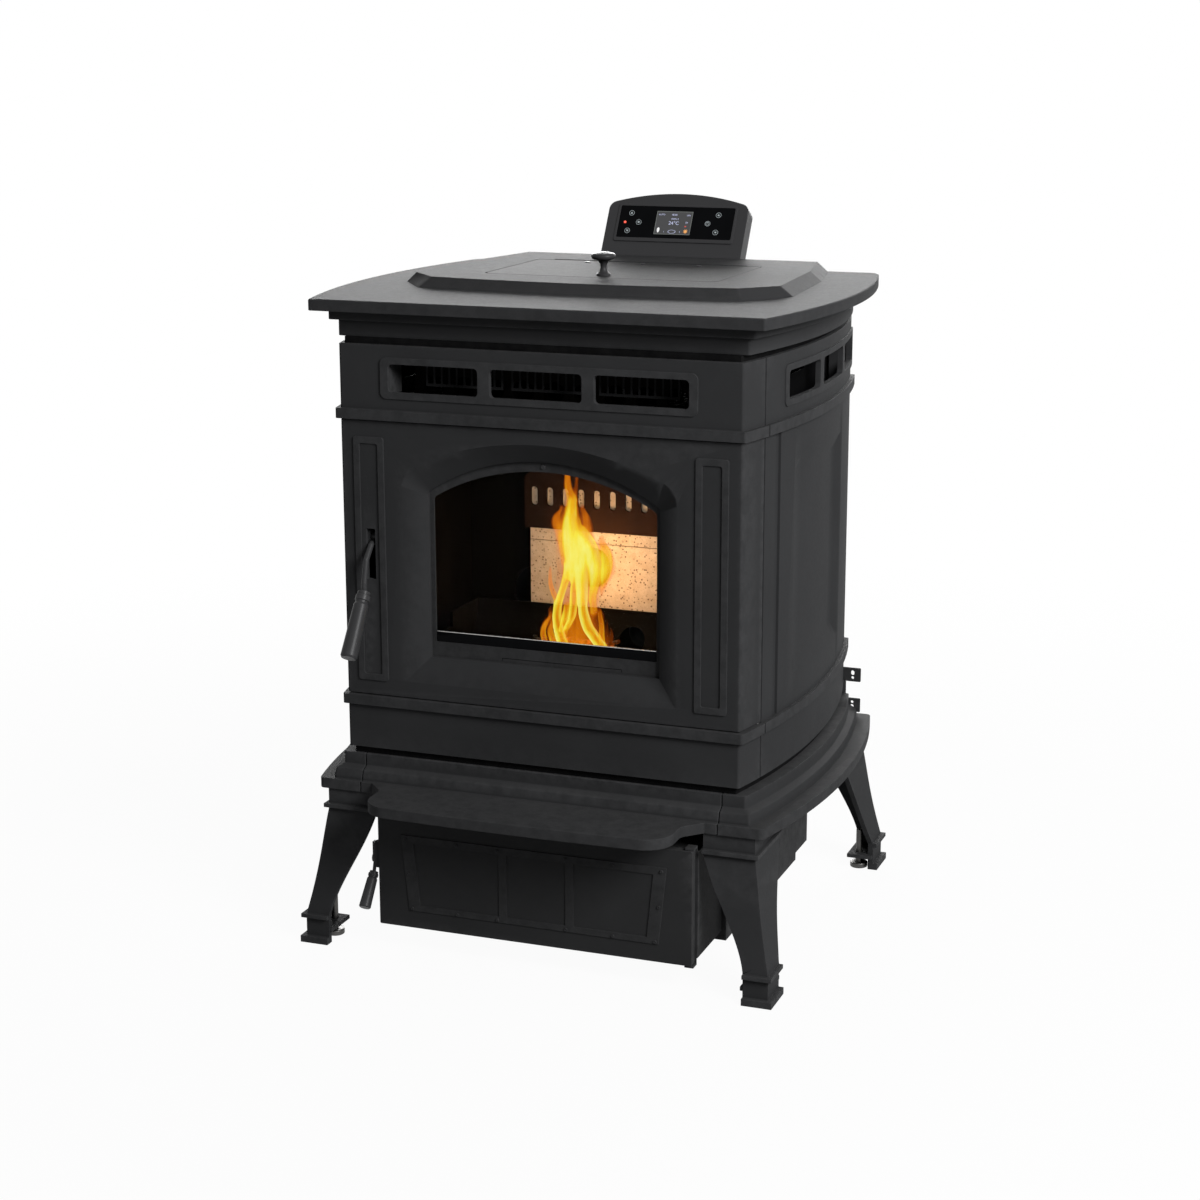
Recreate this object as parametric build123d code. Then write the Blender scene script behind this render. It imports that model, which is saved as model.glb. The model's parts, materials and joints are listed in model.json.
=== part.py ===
from build123d import *
import math
import os

os.makedirs("parts", exist_ok=True)

# A free-standing cast-iron pellet stove. Millimetres, +Z up, the front faces -Y, the floor is z = 0
# and x = 0 is the plane of symmetry.

# ---------------------------------------------------------------- walls and clearances
cast_wall = 6.0
sheet = 2.0
seam_gap = 3.0
seat_gap = 0.3
running_gap = 0.05
slide_gap = 1.0
corner_round = 4.0
casting_flange = 20.0
relief = 2.0

# ---------------------------------------------------------------- plans of the levels
# Each level has a half width at its front corners, a bow of its sides and a depth to the front.
body_half = 288.0
body_bow = 32.0
body_depth = 268.8
belt_reach = 5.5
riser_half = body_half + 9.5
riser_bow = body_bow + 2
riser_depth = body_depth - 1.3
base_half = riser_half + 29.5
base_bow = body_bow + 5
base_depth = body_depth + 18.6
base_well_half = body_half - 22
base_well_depth = body_depth - 24.8
neck_half = body_half - 6
neck_bow = body_bow - 1
neck_depth = body_depth - 6.8
frieze_half = body_half + 4.7
frieze_bow = body_bow + 2
frieze_depth = body_depth - 9.9
top_half = body_half + 34.1
top_bow = body_bow + 6.5
top_depth = body_depth + 21.6

# ---------------------------------------------------------------- heights above the floor
base_bottom = 226.5
base_flange = 15.4
riser_bottom = base_bottom + 34.5
riser_height = 17.0
floor_thickness = 10.3
lower_band_height = 63.0
belt_height = 14.4
door_height = 390.9
upper_band_height = 102.7
roof_thickness = 8.9
frieze_height = 22.6
cove_height = 13.5
top_thickness = 15.9
deck_rise = 14.5
door_gap = 1.5

riser_top = riser_bottom + riser_height
body_bottom = riser_top + floor_thickness
lower_belt = body_bottom + lower_band_height
door_bottom = lower_belt + belt_height
door_top = door_bottom + door_height
upper_belt = door_top
body_top = upper_belt + upper_band_height
frieze_bottom = body_top + roof_thickness
frieze_top = frieze_bottom + frieze_height
top_bottom = frieze_top + cove_height
top_surface = top_bottom + top_thickness
deck_surface = top_surface + deck_rise

side_seam = body_depth - 57.8

# ---------------------------------------------------------------- front door and its arched window
door_plate = 8.0
splay_depth = 20.0
splay_half = body_half - 89
splay_bottom = door_bottom + 24.6
splay_spring = door_top - 69.6
splay_apex = door_top - 21.1
splay_round = 34.0
splay_wall = 8.0
splay_land = 6.0
light_half = splay_half - 31
light_bottom = splay_bottom + 33.3
light_spring = splay_spring - 29.5
light_apex = splay_apex - 26.5
light_round = 9.0
frame_border = 14.5
frame_sill = 21.4
frame_side = 6.0
frame_thickness = 3.0
glass_thickness = 5.0
rope_radius = 5.0
rope_half = splay_half + 17
frame_bottom = splay_bottom + 5.7
pilaster_margin = 18.2
pilaster_width = 45.6
pilaster_border = 9.3
pilaster_outer = body_half - pilaster_margin
pilaster_inner = pilaster_outer - pilaster_width
pilaster_bottom = door_bottom + 22
pilaster_top = door_top - 23.9
hinge_pin_length = 16.0
door_pin_radius = 2.5
door_axis_inset = 3.5
door_boss = 12.0
door_axis_x = body_half + 8
door_axis_y = -side_seam - seam_gap / 2 - door_axis_inset
block_back = -body_depth + splay_depth + splay_land
frame_back = block_back + frame_thickness
fire_front = frame_back + 2 * rope_radius + seat_gap

# ---------------------------------------------------------------- vent windows of the upper bands
vent_half = body_half - 73.3
vent_bottom = upper_belt + 38.9
vent_top = body_top - 25.4
mullion = 17.5
vent_border = 12.0
vent_sill = 9.0
vent_round = 6.0
side_vent_front = -side_seam + 68
side_vent_length = 122.0
side_vent_bar = 17.0

# ---------------------------------------------------------------- side castings
# A sunk field with a bevelled rim, and a groove beside the front seam.
field_middle = 8.0
field_half_length = 123.0
field_bottom = door_bottom + 44.3
field_top = door_top - 47.1
field_depth = 8.0
field_bevel = 20.0
field_wall = 14.0
field_pad = 6.0
groove_front = -side_seam + 32
groove_width = 16.0
groove_depth = 3.5
side_back_strip = 30.0

# ---------------------------------------------------------------- sheet-metal cabinet inside the castings
inner_half = body_half - 38
inner_front = -side_seam + 6
inner_back = body_depth - 6.8
floor_hole_half = inner_half - 60
floor_hole_front = inner_front
floor_hole_back = inner_back - 92

# ---------------------------------------------------------------- door latch
lever_x = -body_half + 41
lever_pivot_y = -body_depth + 18.8
lever_pivot_z = door_bottom + 222.3
lever_slot_bottom = lever_pivot_z - 55
lever_slot_top = lever_pivot_z + 16
lever_slot_width = 13.0
lever_pin_radius = 3.0
lever_bar = 8.0
lever_rod = lever_bar / 2
lever_hub = 9.0
lever_play = 0.4
lug_thickness = 5.0
lug_half_height = 12.0
grip_radius = 12.0
grip_length = 97.0
grip_y = lever_pivot_y - 44
grip_z = lever_pivot_z - 68
lever_lean = 33.0
tang_depth = 30.0
keeper_y = fire_front + 8.5
keeper_radius = 3.0
keeper_gap = 1.0
nose_height = 8.0

# ---------------------------------------------------------------- firebox
fire_half = splay_half + 11
fire_bottom = frame_bottom
fire_top = door_top - 23.6
fire_back = fire_front + 225.5
fire_wall = 4.0
fire_flange = 8.0
mouth_border = 6.0
brick_half = 104.0
brick_bottom = fire_bottom + 60
brick_height = 194.0
brick_top = brick_bottom + brick_height
brick_thickness = 25.0
brick_front = fire_back - 32
brick_shelf = 6.0
brick_joint = (brick_bottom + brick_top) / 2
joint_gap = 1.0
chute_half = 150.0
chute_front = fire_front + 29.5
chute_back = chute_front + 140
baffle_half = 111.0
baffle_bottom = brick_bottom + 115
baffle_top = brick_top + 5
baffle_corner = 10.0
baffle_thickness = 4.0
slot_count = 9
slot_pitch = 24.0
slot_width = 10.0
slot_height = 27.0
slot_centre = baffle_bottom + 47
trough_half = fire_half - 24
trough_radius = 62.0
trough_wall = 4.0
trough_holes = 7
trough_hole_pitch = 18.0
trough_hole_radius = 3.0
trough_hole_turn = 24.0
trough_y = fire_back - 108
trough_rim = fire_bottom + trough_radius + trough_wall
trough_lip_drop = 22.0
trough_lip_back = 30.0
igniter_x = -40.0
igniter_z = fire_bottom + 44
igniter_radius = 5.0
igniter_tail = 45.0

# ---------------------------------------------------------------- fuel feed
feed_radius = 24.0
feed_wall = 2.5
feed_outer = feed_radius + feed_wall
feed_angle = 20.0
feed_x = -8.0
feed_mouth_y = brick_front - 2
feed_mouth_z = fire_bottom + 123
feed_length = 232.0
feed_end_wall = 3.0
screw_radius = 20.5
screw_shaft = 7.0
screw_pitch = 40.0
flight = 3.0
feed_start = 8.0
shaft_tail = 12.0
screw_half_turns = 9
gear_case = 54.0
gear_length = 24.0
motor_radius = 24.0
motor_length = 24.0
hopper_wall_gap = 6.0
hopper_foot_half = 26.0
hopper_foot_front = feed_mouth_y + 104
hopper_foot_back = hopper_foot_front + 72
hopper_foot_z = feed_mouth_z - 21
hopper_top_straight = deck_surface - 34.7
hopper_foot_border = 4.0
hopper_hole_gap = 4.0

# ---------------------------------------------------------------- hopper deck, lid and knob
lid_half = 174.0
lid_front = -35.0
lid_length = 213.0
lid_back = lid_front + lid_length
lid_thickness = 4.0
lid_round = 16.0
lid_gap = 1.2
lid_ledge = 9.0
lid_chamfer = 0.8
hinge_half = 150.0
hinge_knuckles = 5
hinge_barrel = 3.2
hinge_pin = 1.6
hinge_drop = 3.7
hinge_back = 4.5
hinge_leaf = 1.5
hinge_root = 2.0
hinge_sweep = 2.6
hinge_y = lid_back + hinge_back
hinge_z = deck_surface - hinge_drop
deck_bevel = 17.0
deck_sheet = 3.0
deck_round = 8.0
deck_half = top_half - 51.1
deck_front = top_depth - 172.4
deck_front_corner = deck_front - 18
deck_shoulder = deck_half - 46
deck_hip = deck_front - 66
deck_rear = top_depth - 11.4
deck_waist = deck_rear - 131
deck_waist_inset = 14.0
deck_tail = deck_half - 40
top_rear_round = 20.0
top_wall = 8.0
top_edge = 1.5
cove_reach = 10.0
hopper_half = lid_half + lid_gap + hopper_wall_gap
hopper_front = lid_front - lid_gap - hopper_wall_gap
hopper_back = lid_back + lid_gap + hopper_wall_gap
knob_inset = 25.0
knob_y = lid_front + knob_inset
knob_height = 34.0
knob_radius = 17.5
knob_foot = 10.0
knob_foot_height = 3.0

# ---------------------------------------------------------------- control console
console_half = 112.0
console_side = 88.0
console_apex = 105.5
console_y = deck_rear - 3.7
console_lean = 30.6
console_depth = 26.0
console_foot = -24.0
console_round = 14.0
console_wall = 3.0
console_stand = 60.0
screen_half = 91.5
screen_bottom = 30.0
screen_height = 52.4
screen_thickness = 3.0
screen_seat = 2.0
screen_rim = 3.5
screen_round = 1.8
bezel_border = 3.7
bezel_bottom = 6.5
bezel_rise = 2.0
bezel_round = 4.0
board_depth = 12.0
board_thickness = 1.6
board_border = 5.0
post_x = 90.0
post_out = 3.0
post_radius = 3.0
cable_half = 20.0
cable_height = 8.0
lcd_left = -32.0
lcd_right = 25.5
lcd_bottom = 36.5
lcd_height = 38.6
key_radius = 4.8
key_travel = 0.5
key_gap = 0.2
key_rest = 0.3
key_proud = 0.8
key_edge = 0.3
key_places = {
    "key_left_up": (-72.8, 70.5),
    "key_mode": (-59.1, 55.4),
    "key_left_down": (-75.2, 40.8),
    "key_right_up": (66.8, 70.5),
    "key_power": (51.5, 56.0),
    "key_right_down": (66.3, 41.8),
}

# ---------------------------------------------------------------- legs and levellers
leg_skin = 8.0
leg_corner_x = base_half - 10.6
leg_corner_y = base_depth - 4.1
leg_sections = (
    # height, steps of the outer corner outwards in x and y, length of the front arm and the side arm
    (198.0, 0.0, 0.0, 73.4, 113.3),
    (152.0, 7.2, 6.8, 62.6, 94.1),
    (101.0, 15.4, 14.3, 45.0, 71.6),
    (63.0, 23.2, 21.1, 36.4, 59.4),
    (41.0, 28.2, 25.9, 35.8, 52.2),
)
leg_head = 6.5
collar_height = 6.0
collar_reach = 5.7
foot_height = 10.0
foot_reach = 7.0
foot_plate_bottom = 18.0
foot_plate_thickness = 6.0
leveller_x = leg_corner_x + 3.6
leveller_y = leg_corner_y - 15.3
leveller_pad = 13.5
leveller_pad_height = 8.0
leveller_edge = 1.5
leveller_rod = 5.0
leveller_length = 60.0

# ---------------------------------------------------------------- ash vault and blower cabinet
vault_half = base_well_half - 30
vault_back = -50.0
vault_bottom = 44.0
vault_top = base_bottom - 28.5
vault_lip = 14.0
neck_extra = 30.0
cabinet_half = base_well_half - 23
cabinet_front = -175.0
cabinet_back = base_well_depth - 4
cabinet_bottom = 31.0
cabinet_step = 11.0
cabinet_step_y = cabinet_back - 62
intake_slots = 7
intake_slot_pitch = 16.0
intake_slot_half = 110.0
intake_slot_height = 6.0

# Ash door, its panel, its latch and the pan behind it.
ash_door_half = vault_half - 3
ash_door_bottom = vault_bottom - 6
ash_door_top = vault_top + 4
ash_door_front = -base_depth - 10.6
ash_door_depth = 14.0
ash_door_skin = 3.0
ash_door_gap = 3.0
ash_axis_inset = 4.5
ash_pin_radius = 2.5
ash_pin_length = 14.0
ash_boss = 8.0
ash_tab = 4.0
ash_tab_inner = 7.0
ash_tab_outer = 6.0
ash_panel_bottom_half = ash_door_half - 47
ash_panel_top_half = ash_door_half - 36
ash_panel_rise = 1.5
ash_panel_bottom = ash_door_bottom + 26
ash_panel_top = ash_door_top - 27
ash_window_bottom = ash_panel_bottom + 9
ash_window_top = ash_panel_top - 11
ash_window_inset = 18.0
ash_bar_places = (-43.0, 56.0)
ash_bar_width = 12.0
ash_lever_x = -ash_door_half - 10.5
ash_lever_y = ash_door_front + 12
ash_lever_z = ash_door_bottom + 94
ash_lever_bar = 5.0
ash_lever_hub = 7.0
ash_lever_arm = 24.0
ash_grip_radius = 8.5
ash_grip_length = 54.0
ash_grip_lean = 38.0
ash_bracket_low = 12.0
ash_bracket_high = 26.0
pan_half = vault_half - 28
pan_front = ash_door_front + 40
pan_back = vault_back - 10
pan_height = 96.0
pan_wall = 1.5
pan_handle = 16.0
pan_handle_half = 60.0
pan_handle_rod = 4.0

# ---------------------------------------------------------------- flue, air intake and power inlet
# Ash lip shelf under the door; the flue pipe reaches as far back as the shelf reaches forwards.
shelf_root = base_half - 81
shelf_half = shelf_root - 24
shelf_seam = shelf_root + 18
shelf_neck = 26.0
shelf_front = base_depth + 91.6
shelf_bow = 6.0
shelf_corner = 40.0
shelf_neck_round = 14.0
shelf_rear = 20.0

fan_z = fire_bottom + 74
flue_x = -105.0
flue_z = fan_z - 98
flue_radius = 40.0
flue_wall = 2.0
flue_reach = shelf_front + shelf_bow
intake_x = 62.0
intake_z = fire_bottom + 24
intake_radius = 24.0
intake_wall = 1.5
intake_reach = body_depth + 61.2
bead_rise = 3.0
bead_width = 4.0
inlet_x = 170.0
inlet_z = flue_z - 42
inlet_half = 25.0
inlet_height = 28.0
inlet_depth = 22.0
inlet_border = 8.0
inlet_rim = 3.0
blade_pitch = 7.0

# ---------------------------------------------------------------- rear panel and its ears
panel_thickness = 2.0
panel_margin = 6.0
panel_round = 6.0
panel_vent_rows = 8
panel_vent_pitch = 14.0
panel_vent_half = 130.0
panel_vent_height = 5.0
panel_vent_top = body_top - 59.3
bead_y = body_depth + panel_thickness + slide_gap
ear_middle = body_bottom - 4.8
ear_spread = 24.0
ear_height = 21.5
ear_reach = 27.0
ear_thickness = 3.0
ear_root = 8.0
ear_round = 1.5
ear_hole_x = body_half + 14.5
ear_hole_radius = 2.2
ear_hole_inset = 4.75
ear_oval_inset = 2.9
ear_oval_width = 5.4
ear_oval_height = 7.4
ear_strip = 4.0

# ---------------------------------------------------------------- blowers
fan_housing_radius = 66.0
fan_housing_wall = 3.0
fan_motor_back = body_depth - 10.8
fan_front = fan_motor_back - 110
fan_back = fan_front + 57
fan_duct = 38.0
fan_wheel_radius = 56.0
fan_wheel_width = 26.0
fan_hub = 14.0
fan_disc = 2.0
fan_shaft = 4.0
fan_shaft_tail = 14.0
fan_blades = 8
fan_motor_radius = 42.0
drum_y = 95.0
drum_z = cabinet_bottom + 91
drum_radius = 72.0
drum_half = 150.0
drum_wheel_radius = 56.0
drum_wheel_half = 140.0
drum_ring = 12.0
drum_blades = 24
drum_blade_depth = 9.0
drum_shaft = 5.0
drum_shaft_tail = 20.0
drum_inlet = 44.8
drum_foot_half = 40.0
drum_foot_inset = 10.0
drum_motor_radius = 44.0
drum_motor_length = 62.0

# ---------------------------------------------------------------- heat exchanger above the firebox
pipe_count = 9
pipe_pitch = 44.0
pipe_radius = 17.0
pipe_wall = 1.5
pipe_z = fire_top + 63
grille_y = -body_depth + 42.8
exchanger_front = grille_y + 23
exchanger_back = fire_back - 34
exchanger_half = fire_half - 5
grille_half = vent_half + 5.3
grille_bottom = vent_bottom - 8.5
grille_top = vent_top + 11.1
grille_tie = 7.0
comb_pitch = 11.1
comb_slots = 10
comb_bar = 2.5
comb_middle = 5.3
comb_spacing = 126.0
comb_base = vent_bottom + 4.7
comb_foot = comb_base + 3.6
comb_head = vent_top + 4


# ---------------------------------------------------------------- shared shapes
def plan(half, bow, depth, corner=0.0):
    """Plan of one level: straight front and back, bowed sides."""
    front = Line((-half, -depth), (half, -depth))
    right = ThreePointArc((half, -depth), (half + bow, 0), (half, depth))
    back = Line((half, depth), (-half, depth))
    left = ThreePointArc((-half, depth), (-half - bow, 0), (-half, -depth))
    face = make_face(Curve([front, right, back, left]))
    if corner > 0:
        face = fillet(face.vertices(), corner)
    return face


def slab(bottom, top, half, bow, depth, corner=0.0):
    return Pos(0, 0, bottom) * extrude(plan(half, bow, depth, corner), amount=top - bottom)


def span(x0, x1, y0, y1, z0, z1):
    """Box between two corners."""
    return Pos((x0 + x1) / 2, (y0 + y1) / 2, (z0 + z1) / 2) * Box(x1 - x0, y1 - y0, z1 - z0)


def arched(half, bottom, spring, apex, rounding):
    """Window outline in the XZ plane, straight sides under a shallow arch."""
    foot = Line((-half, bottom), (half, bottom))
    right = Line((half, bottom), (half, spring))
    arch = ThreePointArc((half, spring), (0, apex), (-half, spring))
    left = Line((-half, spring), (-half, bottom))
    face = make_face(Curve([foot, right, arch, left]))
    shoulders = [v for v in face.vertices() if v.Y > (bottom + spring) / 2]
    return fillet(shoulders, rounding)


def facing(y):
    """Plane at the given depth whose sketches are drawn in X and Z and seen from the front."""
    return Plane(origin=(0, y, 0), x_dir=(1, 0, 0), z_dir=(0, -1, 0))


def rounded_block(x0, x1, z0, z1, y_front, y_back, rounding):
    """Plate in the XZ plane with rounded corners."""
    outline = Pos((x0 + x1) / 2, (z0 + z1) / 2) * RectangleRounded(x1 - x0, z1 - z0, rounding)
    return extrude(facing(y_back) * outline, amount=y_back - y_front)


def tube_along(start, end, radius):
    """Cylinder from one point to another."""
    axis = Vector(*end) - Vector(*start)
    return extrude(Plane(origin=start, z_dir=axis) * Circle(radius), amount=axis.length)


def mirrored(shape):
    return mirror(shape, about=Plane.YZ)


def merged(*shapes):
    """One solid from shapes that touch or overlap."""
    result = shapes[0]
    for shape in shapes[1:]:
        result = result + shape
    return result.clean()


parts = {}


def keep(name, *solids):
    """File one or more solids under a node name."""
    pieces = []
    for solid in solids:
        pieces.extend(solid.solids())
    parts[name] = Compound(children=pieces) if len(pieces) > 1 else pieces[0]


# ---------------------------------------------------------------- base castings
def base_ring():
    flange_top = base_bottom + base_flange
    cove_half = (base_half + 2 * riser_half) / 3
    cove_depth = (2 * base_depth + riser_depth) / 3
    cove_foot = flange_top + 5
    cove_middle = (cove_foot + riser_bottom) / 2 + 2
    flange = slab(base_bottom, flange_top, base_half, base_bow, base_depth, corner_round * 2)
    riser = slab(flange_top, riser_top, riser_half, riser_bow, riser_depth, corner_round)
    low = Pos(0, 0, cove_foot) * plan(cove_half, riser_bow, cove_depth, corner_round)
    middle = Pos(0, 0, cove_middle) * plan(cove_half - 1.5, riser_bow, cove_depth - 3, corner_round)
    high = Pos(0, 0, riser_bottom) * plan(riser_half, riser_bow, riser_depth, corner_round)
    foot = slab(flange_top, cove_foot, cove_half, riser_bow, cove_depth, corner_round)
    cove = merged(loft([low, middle], ruled=True), loft([middle, high], ruled=True))
    ring = merged(flange, riser, foot, cove)
    ring -= span(-base_well_half, base_well_half, -base_well_depth, base_well_depth, 0, body_top)
    reach, ear_foot = 2 * base_half, ear_middle - ear_spread - ear_height / 2
    return ring - span(-reach, reach, body_depth - seat_gap, 2 * base_depth, ear_foot - slide_gap, riser_top)


def make_base():
    ring = base_ring()
    half_seam = seam_gap / 4
    reach = base_half + base_bow + 10
    depth = base_depth + 10
    right_zone = span(shelf_seam + half_seam, reach, -depth, depth, 0, body_top)
    right_zone += span(half_seam, shelf_seam + 2, base_well_depth - 1, depth, 0, body_top)
    right = ring & right_zone
    keep("base_casting_right", right)
    keep("base_casting_left", mirrored(right))
    seam = shelf_seam - half_seam
    front = ring & span(-seam, seam, -depth, -base_well_depth + 1, 0, body_top)
    keep("ash_lip_shelf", merged(front, shelf_tongue()))


def shelf_tongue():
    root = base_depth - shelf_rear
    front = shelf_front
    throat = base_depth + shelf_neck
    foot = Line((-shelf_root, -root), (shelf_root, -root))
    step = Line((shelf_root, -root), (shelf_root, -base_depth))
    neck = Line((shelf_root, -base_depth), (shelf_half, -throat))
    side = Line((shelf_half, -throat), (shelf_half, -front))
    lip = ThreePointArc((shelf_half, -front), (0, -front - shelf_bow), (-shelf_half, -front))
    side_left = Line((-shelf_half, -front), (-shelf_half, -throat))
    neck_left = Line((-shelf_half, -throat), (-shelf_root, -base_depth))
    step_left = Line((-shelf_root, -base_depth), (-shelf_root, -root))
    face = make_face(Curve([foot, step, neck, side, lip, side_left, neck_left, step_left]))
    outer = [v for v in face.vertices() if v.Y < -front + 1]
    face = fillet(outer, shelf_corner)
    inner = [v for v in face.vertices() if abs(v.Y + throat) < 0.5]
    face = fillet(inner, shelf_neck_round)
    return Pos(0, 0, base_bottom) * extrude(face, amount=base_flange)


# ---------------------------------------------------------------- legs and levellers
def leg_outline(corner_x, corner_y, front_arm, side_arm, skin):
    """L-shaped section of the front right leg, outer corner outwards."""
    points = [
        (corner_x, -corner_y),
        (corner_x, -corner_y + side_arm),
        (corner_x - skin, -corner_y + side_arm),
        (corner_x - skin, -corner_y + skin),
        (corner_x - front_arm, -corner_y + skin),
        (corner_x - front_arm, -corner_y),
    ]
    return make_face(Polyline(*points, close=True))


def leg_section(row, reach=0.0):
    """Section of the leg at one row of the table, grown outwards by reach."""
    _, step_x, step_y, front_arm, side_arm = row
    corner_x, corner_y = leg_corner_x + step_x + reach, leg_corner_y + step_y + reach
    return leg_outline(corner_x, corner_y, front_arm + reach, side_arm + reach, leg_skin + reach)


def leg_band(bottom, height, row, reach):
    """Horizontal moulding round the leg."""
    return Pos(0, 0, bottom) * extrude(leg_section(row, reach), amount=height)


def make_legs():
    top, low = leg_sections[0], leg_sections[-1]
    faces = [Pos(0, 0, row[0]) * leg_section(row) for row in leg_sections]
    shank = loft([face.face() for face in faces])
    head = leg_band(top[0], base_bottom - top[0] - leg_head, top, 0)
    head_x, head_y = leg_corner_x, leg_corner_y
    plate = span(head_x - top[3], head_x, -head_y, -head_y + top[4], base_bottom - leg_head, base_bottom)
    collar = leg_band(top[0], collar_height, top, collar_reach)
    ankle_collar = leg_band(low[0] - collar_height + 2, collar_height, low, collar_reach)
    ankle = leg_band(0, low[0], low, 0)
    foot = leg_band(0, foot_height, low, foot_reach)
    foot_x, foot_y = leg_corner_x + low[1], leg_corner_y + low[2]
    floor, plate_top = foot_plate_bottom, foot_plate_bottom + foot_plate_thickness
    shelf = span(foot_x - low[3] - 4, foot_x - 1, -foot_y + 1, -foot_y + low[4] + 6, floor, plate_top)
    bore = Pos(leveller_x, -leveller_y, 0) * Cylinder(leveller_rod + slide_gap / 2, base_bottom)
    front_right = merged(shank, head, plate, collar, ankle_collar, ankle, foot, shelf)
    front_right = front_right - bore
    rear_right = mirror(front_right, about=Plane.XZ)
    keep("leg_front_right", front_right)
    keep("leg_rear_right", rear_right)
    keep("leg_front_left", mirrored(front_right))
    keep("leg_rear_left", mirrored(rear_right))
    pad = Pos(0, 0, leveller_pad_height / 2) * Cylinder(leveller_pad, leveller_pad_height)
    pad = fillet(pad.edges().filter_by(GeomType.CIRCLE), leveller_edge)
    rod = Pos(0, 0, leveller_length / 2) * Cylinder(leveller_rod, leveller_length)
    leveller = merged(pad, rod)
    for end, y in (("front", -leveller_y), ("rear", leveller_y)):
        for side, x in (("left", -leveller_x), ("right", leveller_x)):
            keep("leveller_" + end + "_" + side, Pos(x, y, 0) * leveller)


# ---------------------------------------------------------------- body castings
def cast_wall_ring(bottom, top, reach=0.0, wall=cast_wall):
    outer = slab(bottom, top, body_half + reach, body_bow, body_depth + reach, corner_round)
    inner = slab(bottom, top, body_half - wall, body_bow, body_depth - wall, corner_round / 2)
    return outer - inner


def front_zone(bottom, top):
    reach = body_half + body_bow + 20
    return span(-reach, reach, -body_depth - 20, -side_seam - seam_gap / 2, bottom, top)


def front_vents():
    pitch = (2 * vent_half + mullion) / 3
    width = pitch - mullion
    face = -body_depth - 5
    cuts = []
    for number in range(3):
        left = -vent_half + number * pitch
        cuts.append(rounded_block(left, left + width, vent_bottom, vent_top, face, -side_seam, vent_round))
    return cuts


def make_front_bands():
    flange = casting_flange
    upper = merged(
        cast_wall_ring(upper_belt, body_top),
        cast_wall_ring(upper_belt, upper_belt + belt_height, belt_reach),
        cast_wall_ring(body_top - cast_wall, body_top, 0, flange),
        cast_wall_ring(upper_belt, upper_belt + cast_wall, 0, flange),
    )
    upper = upper & front_zone(upper_belt, body_top)
    half, low, high = vent_half + vent_border, vent_bottom - vent_sill, vent_top + vent_sill
    rounding = vent_round + 3
    raised = rounded_block(-half, half, low, high, -body_depth - relief, -body_depth + 1, rounding)
    upper = merged(upper, raised)
    for cut in front_vents():
        upper = upper - cut
    lower = merged(
        cast_wall_ring(body_bottom, door_bottom),
        cast_wall_ring(lower_belt, door_bottom, belt_reach),
        cast_wall_ring(body_bottom, body_bottom + cast_wall, 0, flange),
        cast_wall_ring(door_bottom - cast_wall, door_bottom, 0, flange),
    )
    lower = lower & front_zone(body_bottom, door_bottom)
    low_pin, high_pin = door_pins(0)
    keep("front_upper_band", upper - high_pin)
    keep("front_lower_band", lower - low_pin)


def side_zone(bottom, top):
    reach = body_half + body_bow + 20
    return span(inner_half + sheet + 4, reach, -side_seam + seam_gap / 2, body_depth, bottom, top)


def make_sides():
    reach = body_half + body_bow + 40
    ring = cast_wall_ring(body_bottom, body_top)
    ring += cast_wall_ring(upper_belt, upper_belt + belt_height, belt_reach)
    ring += cast_wall_ring(lower_belt, door_bottom, belt_reach)
    ring += cast_wall_ring(body_bottom, body_bottom + cast_wall, 0, casting_flange)
    ring += cast_wall_ring(body_top - cast_wall, body_top, 0, casting_flange)
    pad_front = field_middle - field_half_length - field_pad
    pad_back = field_middle + field_half_length + field_pad
    pad_zone = span(0, reach, pad_front, pad_back, field_bottom - field_pad, field_top + field_pad)
    ring += cast_wall_ring(body_bottom, body_top, 0, field_wall) & pad_zone
    strip, rear = side_back_strip, body_depth - cast_wall
    back_strip = span(body_half - strip, body_half + strip, rear, body_depth, body_bottom, body_top)
    ring += slab(body_bottom, body_top, body_half, body_bow, body_depth, corner_round) & back_strip
    ring += raised_vent_frame()
    side = ring & side_zone(body_bottom, body_top)
    side = side - sunk_field()
    groove = cast_wall_ring(door_bottom, door_top, 1.0, groove_depth)
    groove = groove & span(0, reach, groove_front, groove_front + groove_width, door_bottom, door_top)
    side = side - groove
    for cut in side_vents():
        side = side - cut
    keep("side_casting_right", side)
    keep("side_casting_left", mirrored(side))


def side_radius():
    return (body_depth**2 + body_bow**2) / (2 * body_bow)


def sunk_field():
    """Shallow pocket with bevelled sides that follows the bowed outer face."""
    radius = side_radius()
    centre_x = body_half + body_bow - radius
    outer, inner = radius + 1, radius - field_depth
    overrun = field_bevel / field_depth
    profile = Polyline(
        (centre_x + outer, field_bottom - overrun),
        (centre_x + inner, field_bottom + field_bevel),
        (centre_x + inner, field_top - field_bevel),
        (centre_x + outer, field_top + overrun),
        close=True,
    )
    sweep = math.degrees(2 * (field_half_length + 10) / radius)
    axis = Axis((centre_x, 0, 0), (0, 0, 1))
    band = revolve(Plane.XZ * make_face(profile), axis, sweep)
    turn = math.degrees(field_middle / radius) - sweep / 2
    band = Pos(centre_x, 0, 0) * Rot(0, 0, turn) * Pos(-centre_x, 0, 0) * band

    def at(distance, length):
        angle = (field_middle + length) / radius
        return (centre_x + distance * math.cos(angle), distance * math.sin(angle))

    wide = field_half_length + overrun
    narrow = field_half_length - field_bevel
    front = Line(at(outer, -wide), at(inner, -narrow))
    floor = ThreePointArc(at(inner, -narrow), at(inner, 0), at(inner, narrow))
    back = Line(at(inner, narrow), at(outer, wide))
    cover = ThreePointArc(at(outer, wide), at(outer, 0), at(outer, -wide))
    bounds = extrude(make_face(Curve([front, floor, back, cover])), amount=body_top)
    return band & bounds


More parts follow.
